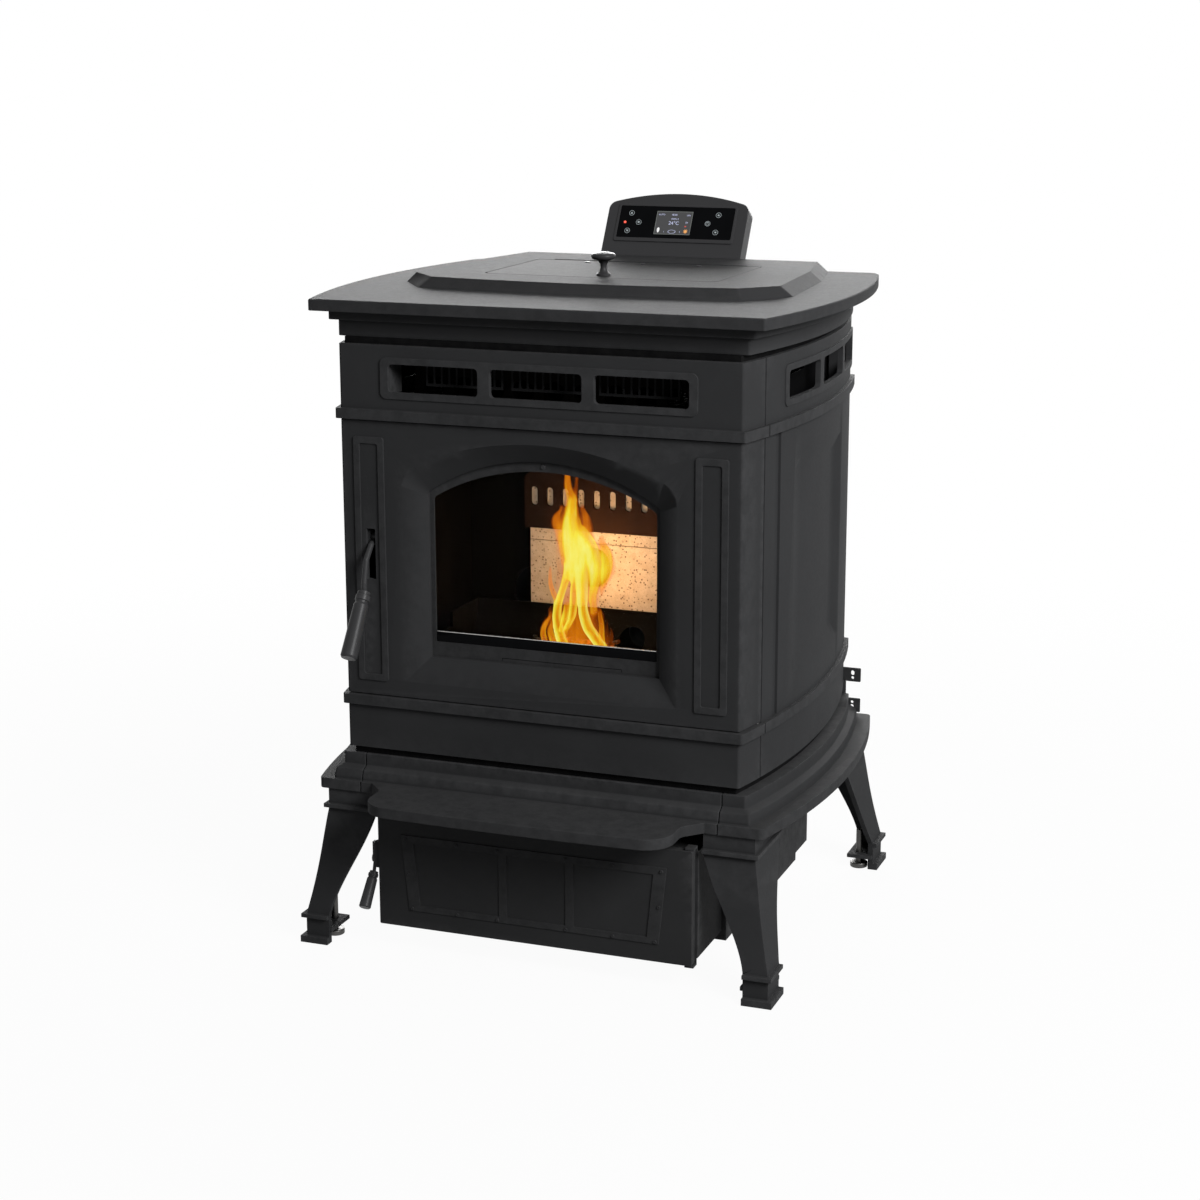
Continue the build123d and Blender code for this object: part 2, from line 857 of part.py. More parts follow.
def raised_vent_frame():
    """Raised border round the side windows, following the bowed wall."""
    end = side_vent_front + 3 * side_vent_length + 2 * side_vent_bar + vent_border
    front = side_vent_front - vent_border
    outline = Pos((front + end) / 2, (vent_bottom + vent_top) / 2)
    outline = outline * RectangleRounded(end - front, vent_top - vent_bottom + 2 * vent_sill, vent_round + 3)
    cover = extrude(Plane.YZ * outline, amount=body_half + body_bow + 80)
    return cast_wall_ring(vent_bottom - 20, vent_top + 20, relief) & cover


def side_vents():
    pitch = side_vent_length + side_vent_bar
    cuts = []
    for number in range(3):
        start = side_vent_front + number * pitch
        outline = Pos(start + side_vent_length / 2, (vent_bottom + vent_top) / 2)
        outline = outline * RectangleRounded(side_vent_length, vent_top - vent_bottom, vent_round)
        cuts.append(Pos(inner_half + 3, 0, 0) * extrude(Plane.YZ * outline, amount=body_bow + 63))
    return cuts


# ---------------------------------------------------------------- inner cabinet
def make_cabinet_shell():
    floor = slab(riser_top, body_bottom, neck_half, neck_bow, neck_depth)
    floor -= span(-floor_hole_half, floor_hole_half, floor_hole_front, floor_hole_back, 0, body_top)
    roof = slab(body_top, frieze_bottom, neck_half, neck_bow, neck_depth)
    half, gap = hopper_half + hopper_hole_gap, hopper_hole_gap
    front, back = hopper_front - gap, hopper_back + gap
    roof -= span(-half, half, front, back, body_top - 5, frieze_top)
    wall = span(inner_half, inner_half + sheet, inner_front, inner_back, body_bottom, body_top)
    wall -= span(inner_half - 5, inner_half + 10, side_vent_front, -side_vent_front, vent_bottom, vent_top)
    keep("cabinet_shell", merged(floor, roof, wall, mirrored(wall)))


# ---------------------------------------------------------------- front door
def make_door():
    bottom, top = door_bottom + door_gap, door_top - door_gap
    shell = cast_wall_ring(bottom, top, 0, door_plate)
    caps = cast_wall_ring(bottom, bottom + cast_wall, 0, casting_flange)
    caps += cast_wall_ring(top - cast_wall, top, 0, casting_flange)
    casting = (shell + caps) & front_zone(bottom, top)
    wall, half = splay_wall, splay_half
    block = arched(half + wall, splay_bottom - wall, splay_spring, splay_apex + wall, splay_round)
    casting += extrude(facing(block_back) * block, amount=block_back + body_depth)
    mouth = arched(half, splay_bottom, splay_spring, splay_apex, splay_round)
    throat = arched(light_half, light_bottom, light_spring, light_apex, light_round)
    sections = [facing(-body_depth) * mouth, facing(-body_depth + splay_depth) * throat]
    casting -= loft([section.face() for section in sections], ruled=True)
    casting -= extrude(facing(block_back + 1) * throat, amount=block_back + body_depth)
    for side in (-1, 1):
        casting += pilaster(side)
    x0, x1 = lever_x - lever_slot_width / 2, lever_x + lever_slot_width / 2
    face = -body_depth
    casting -= rounded_block(x0, x1, lever_slot_bottom, lever_slot_top, face - 5, face + door_plate + 5, 1.0)
    casting = merged(casting, lever_lug(-1), lever_lug(1))
    boss_back = -side_seam - seam_gap / 2
    boss = span(door_axis_x - door_boss, door_axis_x + 2, door_axis_y - 8, boss_back, 0, door_boss)
    casting += Pos(0, 0, bottom) * boss
    casting += Pos(0, 0, top - door_boss) * boss
    casting = casting & front_zone(bottom, top)
    for hole in door_pins(running_gap):
        casting -= hole
    pin = Pos(lever_x, lever_pivot_y, lever_pivot_z) * Rot(0, 90, 0)
    pin = pin * Cylinder(lever_pin_radius, lever_bar + 2 * (lever_play + lug_thickness / 2))
    keep("door_casting", merged(casting, pin))
    keep("door_hinge_pins", *door_pins(0))
    make_window()


def make_window():
    """Frame, pane and rope seal behind the door casting."""
    spring, apex = fire_top - 40, fire_top
    outer = arched(rope_half + 4, frame_bottom - 4, spring, apex, 14)
    side, sill = light_half - frame_side, light_bottom + frame_sill
    hole = arched(side, sill, light_spring - 8, light_apex - frame_border, light_round)
    keep("glass_frame", extrude(facing(frame_back) * (outer - hole), amount=frame_thickness))
    pane = arched(light_half + 6, light_bottom + 8, light_spring - 2, light_apex - 2, light_round)
    keep("door_glass", extrude(facing(frame_back + glass_thickness) * pane, amount=glass_thickness))
    rope = 2 * rope_radius
    spring, apex = fire_top - 44, fire_top - 4
    outer = arched(rope_half, frame_bottom, spring, apex, 12)
    inner = arched(rope_half - rope, frame_bottom + rope, spring - rope / 2, apex - rope, 8)
    seal = extrude(facing(frame_back + rope) * (outer - inner), amount=rope)
    keep("door_seal", fillet(seal.edges().filter_by(Plane.XZ), rope_radius * 0.6))


def door_pins(extra):
    """Lower and upper hinge pin, or the holes for them where extra is a clearance."""
    pin = Cylinder(door_pin_radius + extra, hinge_pin_length + 2 * extra)
    return [Pos(door_axis_x, door_axis_y, level) * pin for level in (door_bottom + 1, door_top - 1)]


def pilaster(side):
    """Raised outline beside the window."""
    x0, x1 = sorted((side * pilaster_inner, side * pilaster_outer))
    border = pilaster_border
    face, back = -body_depth - relief, -body_depth + 1
    ring = rounded_block(x0, x1, pilaster_bottom, pilaster_top, face, back, 4)
    ring -= rounded_block(
        x0 + border, x1 - border, pilaster_bottom + border, pilaster_top - border, face - 1, back + 1, 3
    )
    return ring


def lever_lug(side):
    """Ear behind the slot that carries the latch lever's pivot."""
    gap = lever_bar / 2 + lever_play
    x0, x1 = sorted((lever_x + side * gap, lever_x + side * (gap + lug_thickness)))
    low, high = lever_pivot_z - lug_half_height, lever_pivot_z + lug_half_height
    return span(x0, x1, -body_depth + door_plate - 1, lever_pivot_y + 10, low, high)


# ---------------------------------------------------------------- top, deck, lid and knob
def make_top():
    rear = slab(top_bottom, top_surface, top_half, top_bow, top_depth)
    corners = [e for e in rear.edges().filter_by(Axis.Z) if e.center().Y > 0]
    plate = fillet(corners, top_rear_round)
    corners = [e for e in plate.edges().filter_by(Axis.Z) if e.center().Y < -frieze_depth]
    plate = fillet(corners, corner_round)
    plate = chamfer(plate.faces().sort_by(Axis.Z)[-1].edges(), top_edge)
    half, depth = frieze_half + cove_reach, frieze_depth + cove_reach
    step = slab(frieze_top, top_bottom, half, frieze_bow, depth, corner_round)
    skirt = slab(frieze_bottom, frieze_top, frieze_half, frieze_bow, frieze_depth, corner_round)
    half, depth = frieze_half - cast_wall, frieze_depth - cast_wall
    hollow = slab(frieze_bottom + cast_wall, top_surface - top_wall, half, frieze_bow, depth)
    half, depth = frieze_half - casting_flange, frieze_depth - casting_flange
    foot = slab(frieze_bottom - 1, frieze_bottom + cast_wall + 1, half, frieze_bow, depth)
    top = merged(plate, step, skirt) - hollow - foot
    gap = hopper_wall_gap / 2
    half, front, back = hopper_half + gap, hopper_front - gap, hopper_back + gap
    keep("top_plate", top - span(-half, half, front, back, 0, deck_surface))


def deck_outline(reach):
    """Plan of the raised deck: arched front, cut corners and slanted sides."""
    half, rear = deck_half + reach, deck_rear
    shoulder = (deck_shoulder + reach * 0.8, -deck_front_corner - reach)
    front = ThreePointArc((-shoulder[0], shoulder[1]), (0, -deck_front - reach), shoulder)
    hip = (half, -deck_hip + reach * 0.3)
    waist = (half - deck_waist_inset, deck_waist)
    tail = (deck_tail + reach, rear)
    right = [Line(shoulder, hip), Line(hip, waist), Line(waist, tail)]
    left = [Line((-a[0], a[1]), (-b[0], b[1])) for a, b in ((tail, waist), (waist, hip), (hip, shoulder))]
    back = Line(tail, (-tail[0], rear))
    face = make_face(Curve([front, *right, back, *left]))
    blunt = [v for v in face.vertices() if v.Y < rear - 1]
    return fillet(blunt, deck_round)


def make_deck():
    low = Pos(0, 0, top_surface) * deck_outline(deck_bevel)
    high = Pos(0, 0, deck_surface) * deck_outline(0)
    deck = loft([low, high], ruled=True)
    low = Pos(0, 0, top_surface - 1) * deck_outline(deck_bevel - deck_sheet)
    high = Pos(0, 0, deck_surface - deck_sheet) * deck_outline(-deck_sheet)
    reach, rear = 2 * top_half, deck_rear - deck_sheet
    hollow = loft([low, high], ruled=True) & span(-reach, reach, -reach, rear, 0, deck_surface)
    seat_top = deck_surface - lid_thickness - seat_gap
    half, low, high = hopper_half, seat_top - deck_sheet, deck_surface - 1
    deck = merged(deck - hollow, span(-half, half, hopper_front, hopper_back, low, high))
    deck -= Pos(0, 0, seat_top) * extrude(lid_outline(lid_gap), amount=deck_rise)
    half, front, back = lid_half - lid_ledge, lid_front + lid_ledge, lid_back - lid_ledge
    deck -= span(-half, half, front, back, 0, deck_surface + 1)
    half, back = lid_half + lid_gap, lid_back + hinge_sweep
    deck -= span(-half, half, front, back, seat_top, deck_surface + 1)
    half, front, back = hinge_half + lid_gap, lid_back - 2 * hinge_root, hinge_y + hinge_barrel + lid_gap
    deck -= span(-half, half, front, back, low - 1, deck_surface + 1)
    barrels = [knuckle(number, back + 1) for number in range(0, hinge_knuckles, 2)]
    pin = tube_along((-hinge_half, hinge_y, hinge_z), (hinge_half, hinge_y, hinge_z), hinge_pin)
    keep("hopper_deck", merged(deck, *barrels, pin))


def knuckle(number, leaf_end):
    """One barrel of the lid's hinge with the leaf that carries it."""
    pitch = 2 * hinge_half / hinge_knuckles
    start = -hinge_half + number * pitch + (seam_gap / 6 if number else 0)
    end = -hinge_half + (number + 1) * pitch - (seam_gap / 6 if number < hinge_knuckles - 1 else 0)
    barrel = tube_along((start, hinge_y, hinge_z), (end, hinge_y, hinge_z), hinge_barrel)
    front, back = sorted((hinge_y, leaf_end))
    leaf = span(start, end, front, back, hinge_z - hinge_leaf / 2, hinge_z + hinge_leaf / 2)
    return merged(barrel, leaf)


def lid_outline(gap):
    width, depth = 2 * (lid_half + gap), lid_back - lid_front + 2 * gap
    face = Pos(0, (lid_front + lid_back) / 2) * Rectangle(width, depth)
    corners = [v for v in face.vertices() if v.Y < 0]
    return fillet(corners, lid_round)


def make_lid():
    lid = Pos(0, 0, deck_surface - lid_thickness) * extrude(lid_outline(0), amount=lid_thickness)
    lid = chamfer(lid.faces().sort_by(Axis.Z)[-1].edges(), lid_chamfer)
    lid = merged(lid, *[knuckle(number, lid_back - hinge_root) for number in range(1, hinge_knuckles, 2)])
    bore = hinge_pin + running_gap
    lid -= tube_along((-hinge_half, hinge_y, hinge_z), (hinge_half, hinge_y, hinge_z), bore)
    keep("hopper_lid", lid)
    stem, cap, top = knob_foot / 2.2, knob_radius, knob_height
    base = [Line((0, 0), (knob_foot, 0)), Line((knob_foot, 0), (knob_foot, knob_foot_height))]
    neck = ThreePointArc((knob_foot, knob_foot_height), (stem, top * 0.4), (cap * 0.75, top * 0.68))
    rim = ThreePointArc((cap * 0.75, top * 0.68), (cap, top * 0.8), (cap * 0.75, top - top * 0.06))
    crown_height = top * 0.06
    crown_radius = ((cap * 0.75) ** 2 + crown_height**2) / (2 * crown_height)
    half_angle = math.asin(cap * 0.75 / crown_radius) / 2
    middle = (crown_radius * math.sin(half_angle), top - crown_radius * (1 - math.cos(half_angle)))
    crown = ThreePointArc((cap * 0.75, top - crown_height), middle, (0, top))
    profile = make_face(Curve([*base, neck, rim, crown, Line((0, top), (0, 0))]))
    keep("lid_knob", Pos(0, knob_y, deck_surface) * revolve(Plane.XZ * profile, Axis.Z))


# ---------------------------------------------------------------- control console
def console_plane(depth=0.0):
    """Plane of the console's face, moved back by depth; x across, y up the slope."""
    lean = math.radians(console_lean)
    normal = (0, -math.cos(lean), math.sin(lean))
    face = Plane(origin=(0, console_y, deck_surface), x_dir=(1, 0, 0), z_dir=normal)
    return face.offset(-depth)


def console_outline(inset):
    half, low = console_half - inset, console_foot + inset
    side, apex = console_side - inset, console_apex - inset
    foot = Line((-half, low), (half, low))
    right = Line((half, low), (half, side))
    crown = ThreePointArc((half, side), (0, apex), (-half, side))
    left = Line((-half, side), (-half, low))
    face = make_face(Curve([foot, right, crown, left]))
    return fillet([v for v in face.vertices() if v.Y > 0], console_round - inset)


def console_slot(half, low, high, front, back, rounding=0.01, middle=0.0):
    """Block on the console's slope between two depths behind its face."""
    outline = Pos(middle, (low + high) / 2) * RectangleRounded(2 * half, high - low, rounding)
    return extrude(console_plane(back) * outline, amount=back - front)


def make_console():
    wall = console_wall
    top = screen_bottom + screen_height
    inside = console_depth - wall
    shell = extrude(console_plane(console_depth) * console_outline(0), amount=console_depth)
    hollow = extrude(console_plane(inside) * console_outline(wall), amount=inside - wall)
    half, low, high = screen_half + bezel_border, screen_bottom - bezel_bottom, top + bezel_border
    shell += console_slot(half, low, high, -bezel_rise, 1, bezel_round)
    shell -= hollow
    gap = seat_gap / 2
    shell -= console_slot(screen_half + gap, screen_bottom - gap, top + gap, -9, screen_seat, 2.0)
    rim = screen_rim
    shell -= console_slot(screen_half - rim, screen_bottom + rim, top - rim, -9, wall + 1, 2.0)
    for x in (-post_x, post_x):
        for level in (screen_bottom - post_out, top + post_out):
            post = Pos(x, level) * Circle(post_radius)
            shell += extrude(console_plane(board_depth) * post, amount=board_depth - wall + 1)
    reach, rear = console_half + 10, deck_rear + seat_gap
    shell -= span(-reach, reach, rear - console_stand, rear, 0, deck_surface)
    shell -= span(-reach, reach, 0, 2 * top_depth, 0, top_surface)
    low, high = top_surface - 1, top_surface + cable_height
    shell -= span(-cable_half, cable_half, deck_rear + 4, top_depth - wall, low, high)
    keep("console_shell", shell)

    front = screen_seat - screen_thickness
    glass = console_slot(screen_half, screen_bottom, top, front, screen_seat, screen_round)
    for x, level in key_places.values():
        hole = Pos(x, level) * Circle(key_radius + key_gap)
        glass -= extrude(console_plane(screen_seat + 1) * hole, amount=screen_thickness + 2)
    keep("console_glass", glass)

    half, low, high = post_x + board_border, screen_bottom - post_out * 2, top + post_out * 2
    board = console_slot(half, low, high, board_depth, board_depth + board_thickness, 1.0)
    half, middle = (lcd_right - lcd_left) / 2, (lcd_right + lcd_left) / 2
    front, low, high = screen_seat + seat_gap, lcd_bottom, lcd_bottom + lcd_height
    lcd = console_slot(half, low, high, front, board_depth + 0.5, 0.6, middle)
    keep("control_board", merged(board, lcd))

    foot = board_depth - key_travel - key_rest
    length = foot + key_proud + screen_thickness - screen_seat
    for name, (x, level) in key_places.items():
        disc = Pos(x, level) * Circle(key_radius)
        key = extrude(console_plane(foot) * disc, amount=length)
        keep(name, chamfer(key.faces().sort_by(Axis.Y)[0].edges(), key_edge))


# ---------------------------------------------------------------- levers
def rod_through(points, x, radius):
    """Round bar along points given in Y and Z, with rounded knees."""
    places = [(x, y, z) for y, z in points]
    shapes = [tube_along(start, end, radius) for start, end in zip(places, places[1:])]
    shapes += [Pos(*place) * Sphere(radius) for place in places[1:-1]]
    return merged(*shapes)


def grip_body(radius, length, bore, bore_depth):
    """Turned grip along -Z with two collars at its upper end and a blind bore."""
    neck = radius * 0.72
    outline = Polyline(
        (0, 0),
        (neck, 0),
        (neck, -length * 0.05),
        (radius * 0.85, -length * 0.06),
        (radius * 0.85, -length * 0.13),
        (neck * 1.02, -length * 0.14),
        (neck * 1.02, -length * 0.17),
        (radius * 0.86, -length * 0.2),
        (radius, -length * 0.97),
        (radius * 0.85, -length),
        (0, -length),
        close=True,
    )
    grip = revolve(Plane.XZ * make_face(outline), Axis.Z)
    return grip - Pos(0, 0, -bore_depth / 2) * Cylinder(bore, bore_depth)


def along_lean(y, z, lean, distance):
    """Point in Y and Z at a distance down a line that leans forwards."""
    angle = math.radians(lean)
    return (y - distance * math.sin(angle), z - distance * math.cos(angle))


def make_door_latch():
    y, z = lever_pivot_y, lever_pivot_z
    half = lever_bar / 2
    hub = Pos(lever_x, y, z) * Rot(0, 90, 0) * Cylinder(lever_hub, lever_bar)
    tang = along_lean(grip_y, grip_z, lever_lean, tang_depth)
    front = [(y, z), (y - 19, z - 7), (y - 35, z - 25), (grip_y + 1, grip_z + 12), (grip_y, grip_z), tang]
    rod = rod_through(front, lever_x, lever_rod)
    nose_end = keeper_y - keeper_radius - keeper_gap
    nose = span(lever_x - half, lever_x + half, y, nose_end, z - nose_height, z + 1)
    lever = merged(rod, hub, nose)
    lever -= Pos(lever_x, y, z) * Rot(0, 90, 0) * Cylinder(lever_pin_radius + running_gap, lever_bar * 2)
    keep("door_latch_lever", lever)
    grip = grip_body(grip_radius, grip_length, lever_rod + running_gap, tang_depth + 0.2)
    keep("door_latch_grip", Pos(lever_x, grip_y, grip_z) * Rot(-lever_lean, 0, 0) * grip)


# ---------------------------------------------------------------- firebox
def make_firebox():
    wall, half = fire_wall, fire_half
    outer = span(-half - wall, half + wall, fire_front, fire_back, fire_bottom - wall, fire_top + wall)
    room = span(-half, half, fire_front - 1, fire_back - wall, fire_bottom, fire_top)
    chute = span(-chute_half, chute_half, chute_front, chute_back, vault_top, fire_bottom - wall / 2)
    inner, front, back = chute_half - sheet, chute_front + sheet, chute_back - sheet
    shell = merged(outer - room, chute) - span(-inner, inner, front, back, 0, fire_bottom + 1)
    rim, low, high = rope_half + mouth_border, fire_bottom - fire_flange, fire_top + fire_flange
    flange = span(-rim, rim, fire_front, fire_front + wall, low, high)
    mouth_half = rope_half - 2 * rope_radius - 4
    mouth = arched(mouth_half, frame_bottom + 14, fire_top - 58, fire_top - 16, 12)
    flange -= extrude(facing(fire_front + wall + 1) * mouth, amount=wall + 2)
    shell = merged(shell, flange)
    low = brick_bottom - brick_shelf
    shelf = span(-brick_half, brick_half, brick_front, fire_back - wall / 2, low, brick_bottom)
    end, y, z = lever_x - lever_bar / 2, keeper_y, lever_pivot_z
    keeper = tube_along((end, y, z), (-half - 1, y, z), keeper_radius)
    shell = merged(shell, shelf, keeper)
    shell -= feed_cylinder(feed_outer + seat_gap)
    for x, z, radius in service_holes():
        shell -= Pos(x, fire_back, z) * Rot(90, 0, 0) * Cylinder(radius + seat_gap, 4 * wall)
    keep("firebox_shell", shell)

    back = brick_front + brick_thickness
    bricks = span(-brick_half, brick_half, brick_front, back, brick_bottom, brick_top)
    bricks -= feed_cylinder(feed_outer + slide_gap)
    reach, gap = brick_half + 10, joint_gap / 2
    lower = bricks & span(-reach, reach, brick_front - 1, back + 1, brick_bottom, brick_joint - gap)
    upper = bricks & span(-reach, reach, brick_front - 1, back + 1, brick_joint + gap, brick_top)
    keep("firebricks", lower, upper)

    front = brick_front - baffle_thickness
    plate = span(-baffle_half, baffle_half, front, brick_front, baffle_bottom, baffle_top)
    corners = plate.edges().filter_by(Axis.Y).group_by(Axis.Z)[-1]
    plate = chamfer(corners, baffle_corner)
    low, high, half = slot_centre - slot_height / 2, slot_centre + slot_height / 2, slot_width / 2
    for number in range(slot_count):
        x = (number - (slot_count - 1) / 2) * slot_pitch
        plate -= rounded_block(x - half, x + half, low, high, front - 5, brick_front + 1, half * 0.98)
    keep("baffle_plate", plate)


def service_holes():
    """Holes in the firebox's back wall: x, z and radius of what goes through."""
    return (
        (flue_x, fan_z, fan_duct),
        (intake_x, intake_z, intake_radius),
        (igniter_x, igniter_z, igniter_radius),
    )


def make_trough():
    outer = trough_radius + trough_wall
    half, rim = trough_half, trough_rim
    axis = Pos(0, trough_y, rim) * Rot(0, 90, 0)
    shell = axis * Cylinder(outer, 2 * half)
    shell -= axis * Cylinder(trough_radius, 2 * half + 2)
    for side in (-1, 1):
        end = Pos(side * (half - trough_wall / 2), 0, 0) * axis * Cylinder(outer, trough_wall)
        shell = merged(shell, end)
    shell -= span(-half - 9, half + 9, trough_y - outer - 9, trough_y + outer + 9, rim, rim + outer + 9)
    front, back = trough_y - outer - 9, trough_y - trough_lip_back
    shell -= span(-half - 9, half + 9, front, back, rim - trough_lip_drop, rim + 1)
    for row in (-1, 0, 1):
        for number in range(trough_holes):
            x = (number - (trough_holes - 1) / 2) * trough_hole_pitch
            hole = Pos(x, trough_y, rim) * Rot(row * trough_hole_turn, 0, 0) * Pos(0, 0, -trough_radius)
            shell -= hole * Cylinder(trough_hole_radius, 6 * trough_wall)
    ports = ((intake_x, intake_z, intake_radius - 4), (igniter_x, igniter_z, igniter_radius + seat_gap))
    for x, z, radius in ports:
        shell -= Pos(x, trough_y + trough_radius, z) * Rot(90, 0, 0) * Cylinder(radius, 60)
    keep("burn_trough", shell)
    y_front = trough_y + math.sqrt(outer**2 - (rim - igniter_z) ** 2) - trough_wall
    start = (igniter_x, y_front, igniter_z)
    keep("igniter", tube_along(start, (igniter_x, fire_back + igniter_tail, igniter_z), igniter_radius))


# ---------------------------------------------------------------- fuel feed
def feed_point(distance):
    """Point on the auger's axis, measured from the mouth."""
    angle = math.radians(feed_angle)
    y = feed_mouth_y + distance * math.cos(angle)
    return (feed_x, y, feed_mouth_z - distance * math.sin(angle))


def feed_cylinder(radius):
    return tube_along(feed_point(-30), feed_point(feed_length), radius)


def make_feed():
    end = feed_length
    tube = tube_along(feed_point(0), feed_point(end), feed_outer)
    tube -= tube_along(feed_point(-1), feed_point(end - feed_end_wall), feed_radius)
    half, border = hopper_foot_half - hopper_foot_border, hopper_foot_border
    front, back = hopper_foot_front + border, hopper_foot_back - border
    low = feed_point(end / 2)[2]
    tube -= span(feed_x - half, feed_x + half, front, back, low, hopper_foot_z + 76)
    tube -= tube_along(feed_point(end - 5), feed_point(end + 5), screw_shaft + running_gap)
    keep("auger_tube", tube)

    shaft = tube_along(feed_point(feed_start), feed_point(end + shaft_tail), screw_shaft)
    half_pitch, first = screw_pitch / 2, feed_start + 2
    turns = [screw_flight(first + number * half_pitch, number) for number in range(screw_half_turns)]
    keep("auger_screw", merged(shaft, *turns))

    base = end + seat_gap
    case_plane = Plane(origin=feed_point(base), z_dir=feed_direction(), x_dir=(1, 0, 0))
    case = extrude(case_plane * RectangleRounded(gear_case, gear_case, 8), amount=gear_length)
    case -= tube_along(feed_point(base - 1), feed_point(base + shaft_tail + 1), screw_shaft + running_gap)
    motor = extrude(case_plane.offset(gear_length) * Circle(motor_radius), amount=motor_length)
    keep("auger_gearmotor", merged(case, motor))


def feed_direction():
    return Vector(*feed_point(1)) - Vector(*feed_point(0))


def screw_flight(start, number):
    """One slanted blade of the auger: half a turn, tilted by the pitch."""
    disc = Cylinder(screw_radius, flight)
    side = 1 if number % 2 else -1
    half = disc & Pos(side * screw_radius, 0, 0) * Box(2 * screw_radius, 3 * screw_radius, 3 * flight)
    lead = math.degrees(math.atan(screw_pitch / 4 / screw_radius))
    half = Rot(side * lead, 0, 0) * half & Cylinder(screw_radius, screw_pitch)
    place = Plane(origin=feed_point(start + screw_pitch / 4), z_dir=feed_direction(), x_dir=(1, 0, 0))
    return place.location * half


def hopper_block(inset, top):
    """Tapered inside or outside of the bin, with its throat on the auger tube."""
    half, front, back = hopper_half - inset, hopper_front + inset, hopper_back - inset
    throat = hopper_foot_half - inset
    throat_front, throat_back = hopper_foot_front + inset, hopper_foot_back - inset
    upper = span(-half, half, front, back, hopper_top_straight, top)
    wide = Pos(0, (front + back) / 2, hopper_top_straight) * Rectangle(2 * half, back - front)
    narrow = Rectangle(2 * throat, throat_back - throat_front)
    narrow = Pos(feed_x, (throat_front + throat_back) / 2, hopper_foot_z) * narrow
    taper = loft([narrow, wide], ruled=True)
    low = feed_point(feed_length / 2)[2]
    left, right = feed_x - throat, feed_x + throat
    lower = span(left, right, throat_front, throat_back, low, hopper_foot_z)
    return merged(upper, taper, lower)


def make_hopper():
    top = deck_surface - lid_thickness - seat_gap - deck_sheet
    shell = hopper_block(0, top) - hopper_block(sheet, top + 5)
    keep("hopper_bin", shell - feed_cylinder(feed_outer + seat_gap))


# ---------------------------------------------------------------- heat exchanger and outlet grille
def make_exchanger():
    low, high = fire_top + fire_wall, body_top
    half, front, back = exchanger_half, exchanger_front, exchanger_back
    plates = span(-half, half, front, front + sheet, low, high)
    plates += span(-half, half, back - sheet, back, low, high)
    places = [(number - (pipe_count - 1) / 2) * pipe_pitch for number in range(pipe_count)]
    for x in places:
        plates += tube_along((x, front, pipe_z), (x, back, pipe_z), pipe_radius)
    for x in places:
        plates -= tube_along((x, front - 1, pipe_z), (x, back + 1, pipe_z), pipe_radius - pipe_wall)
    keep("exchanger_tubes", plates)


def make_grille():
    front, back = grille_y - sheet, grille_y
    plate = span(-grille_half, grille_half, front, back, comb_head, grille_top)
    half, slot_half = comb_slots * comb_pitch / 2, (comb_pitch - comb_bar) / 2
    for segment in (-1, 0, 1):
        middle = comb_middle + segment * comb_spacing
        reach = half + comb_bar / 2
        plate += span(middle - reach, middle + reach, front, back, comb_base, comb_head + 1)
        for number in range(comb_slots):
            x = middle - half + (number + 0.5) * comb_pitch
            plate -= span(x - slot_half, x + slot_half, front - 9, back + 9, comb_foot, comb_head)
    for side in (-1, 1):
        x0, x1 = sorted((side * grille_half, side * (grille_half - grille_tie + 2)))
        plate += span(x0, x1, -body_depth + cast_wall, grille_y, grille_bottom + 4, grille_top - 4)
    keep("outlet_grille", plate)


def rearward(x, z, y0, y1, radius):
    """Round bar that runs from front to back."""
    return tube_along((x, y0, z), (x, y1, z), radius)


# ---------------------------------------------------------------- blowers
def make_exhaust():
    drum = Pos(flue_x, fan_z) * Circle(fan_housing_radius)
    foot = Pos(flue_x, flue_z) * Circle(flue_radius + fan_housing_wall)
    middle = (flue_z + fan_z) / 2
    bridge = Pos(flue_x, middle) * Rectangle(2 * (flue_radius + fan_housing_wall), fan_z - flue_z)
    scroll = extrude(facing(fan_back) * (drum + bridge + foot), amount=fan_back - fan_front)
    wall = fan_housing_wall
    inside = Pos(flue_x, fan_z) * Circle(fan_housing_radius - wall)
    inside += Pos(flue_x, flue_z) * Circle(flue_radius - flue_wall)
    inside += Pos(flue_x, middle) * Rectangle(2 * (flue_radius - wall), fan_z - flue_z)
    scroll -= extrude(facing(fan_back - wall) * inside, amount=fan_back - fan_front - 2 * wall)
    duct = rearward(flue_x, fan_z, fire_back - fire_wall / 2, fan_front + 1, fan_duct)
    bore = rearward(flue_x, fan_z, fire_back - 9, fan_front + wall + 2, fan_duct - flue_wall)
    scroll = merged(scroll, duct) - bore
    scroll -= rearward(flue_x, flue_z, fan_back - 5, fan_back + 5, flue_radius - flue_wall)
    scroll -= rearward(flue_x, fan_z, fan_back - 5, fan_back + 5, fan_shaft + running_gap)
    keep("exhaust_blower", scroll)
    make_impeller()

    motor = rearward(flue_x, fan_z, fan_back, fan_motor_back, fan_motor_radius)
    motor -= rearward(flue_x, fan_z, fan_back - 1, fan_back + fan_shaft_tail + 1, fan_shaft + running_gap)
    start, end = drum_half, drum_half + drum_motor_length
    drive = tube_along((start, drum_y, drum_z), (end, drum_y, drum_z), drum_motor_radius)
    end = start + drum_shaft_tail + 1
    drive -= tube_along((start - 1, drum_y, drum_z), (end, drum_y, drum_z), drum_shaft + running_gap)
    keep("blower_motors", motor, drive)

    keep("flue_pipe", beaded_pipe(flue_x, flue_z, fan_back, flue_reach, flue_radius, flue_wall))
    start, end = fire_back - fire_wall, intake_reach
    keep("air_intake_pipe", beaded_pipe(intake_x, intake_z, start, end, intake_radius, intake_wall))


